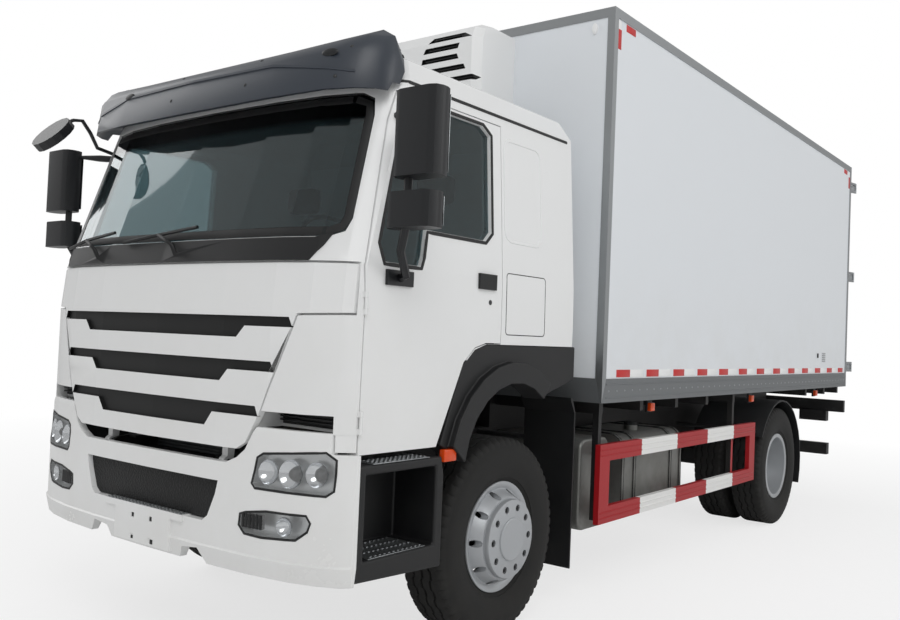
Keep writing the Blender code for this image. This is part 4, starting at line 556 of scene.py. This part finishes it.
# Cab, doors, bumper and cooling unit: pressed steel and moulded panels under one white enamel.
# A clear gloss with a faint film of dust, thicker and warmer towards the sills.
cab_enamel = coat("white stoving enamel", "F0F1F1", 0.24, ior=1.5)
dusted(cab_enamel, "F0F1F1", "CFCBC2", 0.25, 0.4, 2.2, patch=1.5, rough=0.45)
grained(cab_enamel, 0.25, 0.0006)
wear(cab_enamel[0], "front_panel", "door_left", "door_right", "cooling_unit")
# Painted shade: a near-black finish standing in for the shade inside the front panel's grille slots and the
# cooling unit's louvre slots.
shadow_black = coat("black painted slot shade", "08090A", 0.6, ior=1.5)
grained(shadow_black, 0.004, 0.0003)
SLOTS = ((1.672, 0.915, 0.66, 0.045, 0.098), (1.470, 0.830, 0.565, 0.045, 0.100),
         (1.268, 0.750, 0.475, 0.045, 0.110))
HEADLAMP = [(0.763, 0.928), (0.780, 1.043), (0.812, 1.063), (1.121, 1.093), (1.165, 1.063), (1.165, 0.932),
            (1.133, 0.907), (0.782, 0.907)]
FOG_LAMP = [(0.695, 0.734), (0.700, 0.785), (0.738, 0.797), (0.85, 0.813), (1.052, 0.817), (1.073, 0.787),
            (1.060, 0.748), (1.007, 0.707), (0.829, 0.695), (0.732, 0.700)]


def within(outline, u, v):
    """Whether a point lies inside an outline."""
    crossings = 0
    for (u0, v0), (u1, v1) in zip(outline, outline[1:] + outline[:1]):
        if (v0 > v) != (v1 > v) and u < u0 + (v - v0) / (v1 - v0) * (u1 - u0):
            crossings += 1
    return crossings % 2 == 1


SLOT_OUTLINES = [[(-0.01, top), (half, top), (half + 0.02, top - depth), (notch, top - depth),
                  (notch - 0.05, top - deep), (-0.01, top - deep)] for top, half, notch, depth, deep in SLOTS]
# The faces in and along the grille slots are painted black: painted shade inside the slots.
repaint("front_panel", shadow_black[0], lambda x, y, z: any(
    within(outline, x + across, z + up) for outline in SLOT_OUTLINES
    for across, up in ((0, 0), (0, 0.0015), (0, -0.0015), (-0.0015, 0))))
soften(0.006, "front_panel", steps=2)
smoothed("cab_shell", cab_enamel[0], "cab", 0.006, 2, 25)
smoothed("front_bumper", cab_enamel[0], "chassis", 0.006, 3, 25)
soften(0.004, "door_left", "door_right", steps=2)
soften(0.035, "cooling_unit", steps=4, angle=20)


def skin(node):
    """A CAD node's faces, for finding where a line lies on it."""
    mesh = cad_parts[node].data
    faces = [face.vertices[:] for face in mesh.polygons]
    return BVHTree.FromPolygons([corner.co for corner in mesh.vertices], faces)


def ahead_of(tree, x, z):
    """Where a line that runs straight back from ahead of the truck meets a skin, and how it faces."""
    return tree.ray_cast(at(x, -3, z), Vector((0, 1, 0)))[:2]


BEAD_STEP = 0.04


def bead(shape, tree, path, side, width, height, closed=True):
    """Adds a low bead along a path on a skin: (y, z) on a flank, or (x, z) on the front where side is 0."""
    fine = []
    pairs = list(zip(path, path[1:] + path[:1] if closed else path[1:]))
    for (u0, v0), (u1, v1) in pairs:
        parts = max(1, int(Vector((u1 - u0, v1 - v0)).length / BEAD_STEP))
        fine += [(u0 + (u1 - u0) * i / parts, v0 + (v1 - v0) * i / parts) for i in range(parts)]
    if not closed:
        fine.append(path[-1])
    spots = []
    for u, v in fine:
        if side:
            hit, normal = tree.ray_cast(at(side * 2, u, v), Vector((-side, 0, 0)))[:2]
        else:
            hit, normal = ahead_of(tree, u, v)
        if hit is not None:
            spots.append((hit, normal))
    rings = []
    count = len(spots)
    for i, (spot, normal) in enumerate(spots):
        before = spots[i - 1 if closed else max(i - 1, 0)][0]
        after = spots[(i + 1) % count if closed else min(i + 1, count - 1)][0]
        across = (after - before).cross(normal).normalized() * width / 2
        rings.append([shape.verts.new(point) for point in (
            spot + across - normal * 0.002, spot + across * 0.75 + normal * height,
            spot - across * 0.75 + normal * height, spot - across - normal * 0.002)])
    for here, there in zip(rings, rings[1:] + rings[:1] if closed else rings[1:]):
        for k in range(4):
            shape.faces.new((here[k], here[(k + 1) % 4], there[(k + 1) % 4], there[k]))
    if not closed:
        shape.faces.new(rings[0])
        shape.faces.new(rings[-1])


gasket_rubber = coat("extruded black gasket rubber", "161718", 0.6, ior=1.52)
grained(gasket_rubber, 0.003, 0.0003)
cab_skin = skin("cab_shell")
gutter, emboss, hatch = bmesh.new(), bmesh.new(), bmesh.new()
for side in (1, -1):
    bead(gutter, cab_skin, [(-0.98, 2.80), (0.52, 2.80)], side, 0.018, 0.004, closed=False)
    bead(emboss, cab_skin, round_corners((-0.150, 2.14), (0.215, 2.69), 0.06), side, 0.022, 0.004)
    bead(hatch, cab_skin, round_corners((-0.140, 1.637), (0.250, 1.965), 0.02), side, 0.006, 0.0008)
fixed("roof_gutters", gutter, gasket_rubber[0], "cab")
fixed("sleeper_panel_edges", emboss, cab_enamel[0], "cab")
fixed("locker_hatch_seals", hatch, gasket_rubber[0], "cab")

# Corner baffles: ribbed black mouldings in the gaps between the cab's corners and the headlamps.
# They are screwed up under the cab floor and lift with it.
baffles = bmesh.new()
for side in (1, -1):
    slab(baffles, (side * 0.75, -1.262, 1.185), (side * 1.13, -1.2515, 1.247), 0.002)
    for z in (1.205, 1.222, 1.239):
        slab(baffles, (side * 0.755, -1.285, z - 0.004), (side * 1.125, -1.258, z + 0.004), 0.002)
fixed("corner_baffles", baffles, black_pp[0], "cab")

# Windows: toughened and laminated glass with a green-grey tint, bonded in black gaskets.
# The windscreen darkens to a printed black band under the visor.
tinted = coat("tinted toughened glass", "7F9396", 0.02, ior=1.5)
tinted[2].inputs["Transmission Weight"].default_value = 1.0
wear(tinted[0], "door_glass_left", "door_glass_right")
screen_glass = coat("laminated windscreen glass", "8CA0A4", 0.02, ior=1.5)
screen_glass[2].inputs["Transmission Weight"].default_value = 1.0
level = add(screen_glass[1], "SeparateXYZ", {}, {0: screen_glass[3]}).outputs["Z"]
band = add(screen_glass[1], "MapRange", {"From Min": 2.58, "From Max": 2.62}, {"Value": level})
tone = add(screen_glass[1], "Mix", {"data_type": "RGBA", 6: shade("8CA0A4"), 7: shade("0C0D0F")},
           {0: band.outputs[0]})
screen_glass[1].links.new(tone.outputs[2], screen_glass[2].inputs["Base Color"])
wear(screen_glass[0], "windscreen")
screen_skin = skin("windscreen")
half_screen = [(0.0, 2.70), (0.98, 2.70), (1.035, 2.68), (1.050, 2.62), (1.090, 2.13), (1.078, 2.085),
               (1.03, 2.062), (0.0, 2.060)]
border = bmesh.new()
bead(border, screen_skin, half_screen + [(-x, z) for x, z in half_screen[-2:0:-1]], 0, 0.045, 0.0012)
fixed("windscreen_border", border, gasket_rubber[0], "cab")

# Door furniture: a rubber seal round each window, a black pull handle and a key lock.
# The seals stand a little proud of the door's enamel.
WINDOW = [(-1.152, 2.02), (-1.118, 1.928), (-0.858, 1.928), (-0.836, 1.982), (-0.812, 2.106), (-0.330, 2.106),
          (-0.270, 2.160), (-0.270, 2.680), (-0.345, 2.725), (-0.915, 2.725), (-0.970, 2.680)]
for side, name in SIDES:
    door_skin = skin("door_" + name)
    seal = bmesh.new()
    bead(seal, door_skin, WINDOW, side, 0.020, 0.004)
    fixed("window_seal_" + name, seal, gasket_rubber[0], "cab_door_" + name)
    repaint("door_" + name, gasket_rubber[0],
            lambda x, y, z: x > 1.209 and -0.41 < y < -0.24 and 1.86 < z < 1.95)
    lock = bmesh.new()
    turned(lock, [[(0.0, 0.0), (0.0, 0.013), (0.004, 0.013), (0.005, 0.011), (0.005, 0.0)]] * 24,
           Matrix.Translation(at(side * 1.2085, -0.29, 1.80)) @ Matrix.Rotation(0 if side > 0 else pi, 4, "Z"))
    fixed("door_lock_" + name, lock, nut_steel[0], "cab_door_" + name)

# Mirrors: textured black housings with silvered glass that faces the driver.
# The round one looks down over the bumper's right corner.
mirror_black = coat("textured black mirror housing", "15171A", 0.42, ior=1.49)
grained(mirror_black, 0.003, 0.0003)
wear(mirror_black[0], "round_mirror")
for side in ("_left", "_right"):
    smoothed("door_mirror" + side, mirror_black[0], "cab_door" + side, 0.026, 4)
silvered = coat("silvered mirror glass", "D5DADC", 0.03, metallic=1.0)
grained(silvered, 0.4, 0.0004)
for side, name in SIDES:
    glass = bmesh.new()
    slab(glass, (side * 1.336, -1.1215, 2.31), (side * 1.548, -1.1185, 2.645), 0.001)
    slab(glass, (side * 1.312, -1.1215, 2.085), (side * 1.534, -1.1185, 2.210), 0.001)
    fixed("mirror_glass_" + name, glass, silvered[0], "cab_door_" + name)
disc = bmesh.new()
turned(disc, [[(0.0, 0.0), (0.0, 0.112), (0.0015, 0.112), (0.004, 0.06), (0.005, 0.0)]] * 40,
       Matrix.Translation(at(-1.08, -1.4619, 2.683)) @ Matrix.Rotation(radians(49), 4, "X")
       @ Matrix.Translation((0, 0, -0.0295)) @ Matrix.Rotation(pi / 2, 4, "Y"))
fixed("round_mirror_glass", disc, silvered[0], "cab")

# Sun visor: a blow-moulded slate plastic hood with a crease along it, screwed to the roof's front.
# Two small marker lamps with smoked black covers sit in it.
visor_slate = coat("moulded slate ABS", "343A43", 0.38, ior=1.53)
grained(visor_slate, 0.004, 0.0002)
smoothed("sun_visor", visor_slate[0], "cab", 0.012, 3, 50, even=False)
visor_skin = skin("sun_visor")
crease = bmesh.new()
bead(crease, visor_skin, [(-1.05, 2.80), (-0.6, 2.865), (0.6, 2.865), (1.05, 2.80)], 0, 0.016, 0.004,
     closed=False)
fixed("visor_crease", crease, visor_slate[0], "cab")


def spotted(tree, u, v):
    """Where the line of sight through a point of the frame meets a skin, and how it faces."""
    across = (u - FRAME_WIDE / 2) / FRAME_WIDE * camera.data.sensor_width
    up = (FRAME_HIGH / 2 - v) / FRAME_WIDE * camera.data.sensor_width
    sight = camera.matrix_world.to_3x3() @ Vector((across, up, -camera.data.lens))
    return tree.ray_cast(Vector(EYE), sight.normalized())[:2]


ovals, screws = bmesh.new(), bmesh.new()
for spots, shape, size in ((((130, 97), (330, 52)), ovals, (0.045, 0.020, 0.008)),
                           (((171, 101), (245, 85), (335, 76), (184, 79), (262, 61), (352, 46)), screws,
                            (0.009, 0.009, 0.004))):
    for u, v in spots:
        hit, normal = spotted(visor_skin, u, v)
        if hit is None:
            continue
        turn = normal.to_track_quat("Z", "Y").to_matrix().to_4x4()
        place = Matrix.Translation(hit) @ turn @ Matrix.Diagonal((*size, 1))
        bmesh.ops.create_uvsphere(shape, u_segments=20, v_segments=10, radius=1, matrix=place)
fixed("visor_marker_lamps", ovals, mirror_black[0], "cab")
fixed("visor_screws", screws, nut_steel[0], "cab")

# Headlamps and fog lamps: clear polycarbonate lenses over chromed bowls in metallised grey housings.
# The fog lamps' inner ends are closed by ribbed black bezels.
clear_lens = coat("clear polycarbonate lens", "F4F6F6", 0.03, ior=1.58)
clear_lens[2].inputs["Alpha"].default_value = 0.16
chrome = coat("vacuum-metallised reflector", "D2D5D8", 0.14, metallic=1.0)
grained(chrome, 0.02, 0.0008)
bezel_grey = coat("metallised lamp bezel", "B9BCBE", 0.32, metallic=0.85)
grained(bezel_grey, 0.02, 0.0006)
LAMPS = (("headlamp", ((0.842, 0.985, 0.052), (0.962, 0.988, 0.060), (1.085, 0.995, 0.052))),
         ("fog_lamp", ((0.945, 0.757, 0.040),)))
LENS_BACK = -1.262
gaskets = bmesh.new()
bumper_skin = skin("front_bumper")
for outline in (HEADLAMP, FOG_LAMP):
    for side in (1, -1):
        bead(gaskets, bumper_skin, [(side * x, z) for x, z in outline], 0, 0.012, 0.002)
fixed("lamp_gaskets", gaskets, gasket_rubber[0], "chassis")
for kind, bowls in LAMPS:
    for side, name in SIDES:
        node = kind + "_" + name
        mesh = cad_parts[node].data
        lens_skin = skin(node)
        lens, housing, bowl = bmesh.new(), bmesh.new(), bmesh.new()
        for shape, front in ((lens, True), (housing, False)):
            shape.from_mesh(mesh)
            gone = [face for face in shape.faces
                    if (face.normal.y < -0.25 and abs(face.normal.z) < 0.6
                        and face.calc_center_median().y - FRONT_AXLE < LENS_BACK) != front]
            bmesh.ops.delete(shape, geom=gone, context="FACES")
        for x, z, radius in bowls:
            hit, normal = ahead_of(lens_skin, side * x, z)
            facing = normal.to_track_quat("X", "Z").to_matrix().to_4x4()
            dish = [(-0.030 * (1 - t * t / 16), radius * t / 4) for t in range(5)]
            rim = [(0.004, radius * 1.04), (-0.004, radius * 1.06)]
            back = [(along - 0.003, r) for along, r in dish[::-1]]
            turned(bowl, [dish + rim + back] * 32, Matrix.Translation(hit - normal * 0.008) @ facing)
        cover = fixed(node + "_lens", lens, clear_lens[0], "chassis")
        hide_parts(node)
        fixed(node + "_housing", housing, bezel_grey[0], "chassis")
        fixed(node + "_bowls", bowl, chrome[0], "chassis")
        if kind == "headlamp":
            bulbs = bmesh.new()
            for x, z, radius in bowls[1:]:
                hit, normal = ahead_of(lens_skin, side * x, z)
                bmesh.ops.create_uvsphere(bulbs, u_segments=20, v_segments=12, radius=radius * 0.42,
                                          matrix=Matrix.Translation(hit - normal * 0.034))
            fixed(node + "_bulb_caps", bulbs, nut_steel[0], "chassis")
        if kind == "fog_lamp":
            bars = bmesh.new()
            for i in range(6):
                x = side * (0.722 + i * 0.020)
                y = ahead_of(lens_skin, x, 0.755)[0].y - FRONT_AXLE
                slab(bars, (x - 0.0085, y - 0.004, 0.728), (x + 0.0085, y + 0.020, 0.792), 0.003)
            fixed(node + "_bezel", bars, black_pp[0], "chassis")

# Bumper intake: a black pierced screen across the mouth, a toothed aluminium foot tread on its sill and
# four black plugs in the plate holder's bolt holes.
screen_sheet = coat("pierced black screen", "0B0C0D", 0.6, ior=1.5)
holes = add(screen_sheet[1], "TexVoronoi", {"Scale": 90.0}, {"Vector": screen_sheet[3]})
raised(screen_sheet, holes.outputs["Distance"], 0.003)
screen_piece = bmesh.new()
slab(screen_piece, (-0.54, -1.430, 0.722), (0.54, -1.424, 0.908), 0.002)
fixed("intake_screen", screen_piece, screen_sheet[0], "chassis")
plugs = bmesh.new()
for u, v in ((133, 514), (151, 519), (132, 537), (151, 542)):
    hit = spotted(bumper_skin, u, v)[0]
    if hit is not None:
        x, y, z = hit - Vector((0, FRONT_AXLE, 0))
        slab(plugs, (x - 0.011, y - 0.0015, z - 0.011), (x + 0.011, y + 0.002, z + 0.011), 0.001)
fixed("plate_holder_plugs", plugs, gasket_rubber[0], "chassis")
foot_tread = bmesh.new()
for i in range(21):
    x = -0.30 + i * 0.03
    for y in (-1.472, -1.455, -1.438):
        slab(foot_tread, (x - 0.009, y - 0.005, 0.721), (x + 0.009, y + 0.005, 0.727), 0.0015)
fixed("bumper_foot_tread", foot_tread, tread_plate[0], "chassis")

# Box body: glass-fibre skins over foam, white gel-coat, in riveted aluminium edge extrusions.
# Long gentle waves show in the skins' gloss; the rails carry two ribs and a line of rivets.
skin_white = coat("white gel-coated box skin", "E8ECF0", 0.3, ior=1.5)
dusted(skin_white, "E8ECF0", "CFCDC6", 0.3, 1.1, 2.2, rough=0.5)
grained(skin_white, 0.6, 0.0025)
wear(skin_white[0], "box_shell", "box_door_left", "box_door_right")
BOX_HALF, BOX_FRONT, BOX_REAR, BOX_BOTTOM, BOX_TOP = 1.275, 0.843, 6.596, 1.244, 3.709
DOOR_OUT = BOX_REAR + 0.086
rail_grey = coat("weathered aluminium rail", "7F8284", 0.5, metallic=0.7)
grained(rail_grey, 0.010, 0.0005)
repaint("box_edges", rail_grey[0], lambda x, y, z: z < BOX_BOTTOM + 0.155)
for name in ("left", "right"):
    repaint("box_door_" + name, mill_aluminium[0], lambda x, y, z: y > DOOR_OUT + 0.001 or x > 1.252)
ribs, rivets, tape, pale_tape = bmesh.new(), bmesh.new(), bmesh.new(), bmesh.new()
for side in (1, -1):
    outer = side * BOX_HALF
    for z in (BOX_BOTTOM + 0.028, BOX_BOTTOM + 0.112):
        slab(ribs, (outer - side * 0.001, BOX_FRONT + 0.052, z),
             (outer + side * 0.004, BOX_REAR - 0.052, z + 0.008))
    for i in range(52):
        middle = at(outer + side * 0.001, BOX_FRONT + 0.09 + i * 0.109, BOX_BOTTOM + 0.073)
        bmesh.ops.create_cone(rivets, cap_ends=True, segments=10, radius1=0.008, radius2=0.004, depth=0.004,
                              matrix=Matrix.Translation(middle) @ Matrix.Rotation(side * pi / 2, 4, "Y"))
    for i in range(13):
        y = 1.132 + i * 0.436
        for shape, shift in ((tape, 0.0), (pale_tape, 0.19)):
            if y + shift < BOX_REAR - 0.2:
                slab(shape, (outer - side * 0.006, y - 0.095 + shift, 1.402),
                     (outer - side * 0.0035, y + 0.094 + shift, 1.450), 0.0005)
    for y, turn_in in ((BOX_FRONT + 0.055, 1), (BOX_REAR - 0.055, -1)):
        for shape, low, high in ((tape, (y, 3.46), (y + turn_in * 0.045, 3.585)),
                                 (pale_tape, (y, 3.585), (y + turn_in * 0.045, 3.643)),
                                 (tape, (y + turn_in * 0.11, 3.598), (y + turn_in * 0.24, 3.643))):
            slab(shape, (outer - side * 0.006, min(low[0], high[0]), low[1]),
                 (outer - side * 0.0035, max(low[0], high[0]), high[1]), 0.0005)
fixed("rail_ribs", ribs, rail_grey[0], "chassis")
fixed("rail_rivets", rivets, mill_aluminium[0], "chassis")
red_tape = coat("red retroreflective tape", "C8201F", 0.35, ior=1.5)
cells = add(red_tape[1], "TexVoronoi", {"Scale": 160.0}, {"Vector": red_tape[3]})
raised(red_tape, cells.outputs["Distance"], 0.0006)
white_tape = coat("white retroreflective tape", "F2F3F3", 0.35, ior=1.5)
grained(white_tape, 0.006, 0.0005)
fixed("red_reflective_tape", tape, red_tape[0], "chassis")
fixed("white_reflective_tape", pale_tape, white_tape[0], "chassis")

# Box fittings: amber lamps under the side rails, a marker lamp at the front's top corners, a drain
# grille near the rear, the tail lamps' lenses and the rubber seal that the rear doors close on.
under_lamps, brackets, markers, grille = bmesh.new(), bmesh.new(), bmesh.new(), bmesh.new()
for side in (1, -1):
    for y in (1.685, 3.699, 5.639):
        slab(under_lamps, (side * 1.20, y - 0.032, 1.160), (side * 1.228, y + 0.032, 1.216), 0.004)
        slab(brackets, (side * 1.185, y - 0.036, 1.152), (side * 1.203, y + 0.036, 1.2435), 0.002)
    turned(markers, [[(0.0, 0.0), (0.0, 0.030), (0.012, 0.027), (0.016, 0.015), (0.018, 0.0)]] * 28,
           Matrix.Translation(at(side * 1.135, BOX_FRONT + 0.0055, 3.59)) @ Matrix.Rotation(-pi / 2, 4, "Z")
           @ Matrix.Diagonal((1, 0.62, 1.25, 1)))
    for i in range(5):
        slab(grille, (side * 1.266, 5.635, 1.515 + i * 0.020), (side * 1.276, 5.745, 1.527 + i * 0.020), 0.002)
    slab(brackets, (side * 1.266, 5.455, 1.555), (side * 1.278, 5.49, 1.60), 0.003)
fixed("under_box_lamps", under_lamps, amber[0], "chassis")
fixed("lamp_brackets", brackets, black_pp[0], "chassis")
fixed("front_marker_lamps", markers, white_tape[0], "chassis")
fixed("drain_grilles", grille, bezel_grey[0], "chassis")
tail_red = coat("red acrylic lamp", "B0171A", 0.15, ior=1.49)
grained(tail_red, 0.008, 0.0008)
for made, slot_name, stretch in ((tail_red[0], "red", (0.90, 1.00)), (amber[0], "amber", (0.822, 0.892)),
                                 (white_tape[0], "clear", (1.008, 1.088))):
    lenses = bmesh.new()
    for side in (1, -1):
        slab(lenses, (side * stretch[0], 6.590, 0.858), (side * stretch[1], 6.606, 0.948), 0.005)
    fixed("tail_lenses_" + slot_name, lenses, made, "chassis")
SEAL_HALF, SEAL_WIDE = 1.232, 0.036
door_seal = bmesh.new()
for x in (-SEAL_HALF, 1.196):
    slab(door_seal, (x, BOX_REAR - 0.001, BOX_BOTTOM + 0.07),
         (x + SEAL_WIDE, BOX_REAR + 0.004, BOX_TOP - 0.04), 0.001)
for z in (BOX_BOTTOM + 0.07, BOX_TOP - 0.076):
    slab(door_seal, (-SEAL_HALF, BOX_REAR - 0.001, z), (SEAL_HALF, BOX_REAR + 0.004, z + SEAL_WIDE), 0.001)
fixed("rear_door_seal", door_seal, gasket_rubber[0], "chassis")

# Cooling unit: a moulded white cover over its coils, with louvres that breathe through slots painted black
# inside, as painted shade.
# A thin black blade lies along each slot.
UNIT_FRONT, UNIT_TOP = 0.43, 3.64
LOUVRES = ((0.063, 0.157, 0.408), (0.128, 0.100, 0.380), (0.196, 0.075, 0.366), (0.270, 0.110, 0.426),
           (0.346, 0.225, 0.496))
# The faces in the louvre slots are painted black: painted shade inside them.
repaint("cooling_unit", shadow_black[0],
        lambda x, y, z: y < UNIT_FRONT + 0.05 and any(
            UNIT_TOP - drop - 0.036 < z < UNIT_TOP - drop + 0.002 and near - 0.045 < x < far + 0.045
            for drop, near, far in LOUVRES) and y > UNIT_FRONT + 0.002)
blades = bmesh.new()
for drop, near, far in LOUVRES:
    z = UNIT_TOP - drop - 0.017
    for side in (1, -1):
        slab(blades, (side * near + side * 0.02, UNIT_FRONT + 0.006, z - 0.0025),
             (side * far, UNIT_FRONT + 0.024, z + 0.0025), 0.001)
fixed("louvre_blades", blades, black_pp[0], "chassis")

# Cab interior: a grained dashboard, two sprung seats and a bunk in woven cloth over foam.
# The cushions are crowned, the seats' sewn across in channels, on plain moulded bases.
dash_grey = coat("grey dashboard moulding", "3B3D40", 0.6, ior=1.5)
grained(dash_grey, 0.004, 0.0004)
wear(dash_grey[0], "dashboard")
seat_cloth = coat("woven seat cloth", "4D5056", 0.9)
weave = add(seat_cloth[1], "TexWave", {"Scale": 60.0, "bands_direction": "DIAGONAL"}, {"Vector": seat_cloth[3]})
raised(seat_cloth, weave.outputs["Fac"], 0.001)
seat_cloth[2].inputs["Sheen Weight"].default_value = 0.3
SEWN_DEEP, SEWN_WIDE = 0.14, 0.05


def cushion(shape, middle, half, lean=0.0, channels=()):
    """Adds a crowned cushion with sides that pull in between its corners, sewn across at channels."""
    before = set(shape.verts)
    made = bmesh.ops.create_cube(shape, size=2)["verts"]
    edges = list({edge for corner in made for edge in corner.link_edges})
    bmesh.ops.subdivide_edges(shape, edges=edges, cuts=15, use_grid_fill=True)
    fresh = [corner for corner in shape.verts if corner not in before]
    turn = Matrix.Translation(at(*middle)) @ Matrix.Rotation(lean, 4, "X")
    for corner in fresh:
        a, b, c = corner.co
        round_off = (abs(a) ** 6 + abs(b) ** 6 + abs(c) ** 6) ** (-1 / 6)
        a, b, c = a * round_off, b * round_off, c * round_off
        crown = 1 + 0.22 * (1 - a * a) * (1 - b * b) - 0.12
        sewn = sum(SEWN_DEEP * 2.718 ** (-((b - channel) / SEWN_WIDE) ** 2) for channel in channels)
        place = Vector((half[0] * a * (0.97 + 0.03 * b * b), half[1] * b * (0.96 + 0.04 * a * a),
                        half[2] * c * (crown - sewn)))
        corner.co = turn @ place


SEAT_OUT, CAB_FLOOR = 0.56, 1.546
for side, name in SIDES:
    seat = bmesh.new()
    cushion(seat, (side * SEAT_OUT, -0.305, 1.755), (0.235, 0.225, 0.070), radians(3), (-0.4, 0.0, 0.4))
    cushion(seat, (side * SEAT_OUT, -0.025, 2.09), (0.235, 0.300, 0.062), radians(83), (-0.5, -0.1, 0.3))
    cushion(seat, (side * SEAT_OUT, 0.022, 2.475), (0.13, 0.085, 0.045), radians(87))
    covers = fixed("seat_cushions_" + name, seat, seat_cloth[0], "cab", 80)
    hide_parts("seat_" + name)
    base = bmesh.new()
    slab(base, (side * SEAT_OUT - 0.20, -0.45, CAB_FLOOR), (side * SEAT_OUT + 0.20, -0.10, 1.695), 0.012)
    fixed("seat_base_" + name, base, dash_grey[0], "cab")
bed = bmesh.new()
cushion(bed, (0, 0.3475, 1.890), (0.99, 0.212, 0.075))
mattress = fixed("bunk_mattress", bed, seat_cloth[0], "cab", 80)
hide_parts("bunk")
locker = bmesh.new()
slab(locker, (-0.99, 0.14, CAB_FLOOR), (0.99, 0.56, 1.815), 0.012)
fixed("bunk_locker", locker, dash_grey[0], "cab")
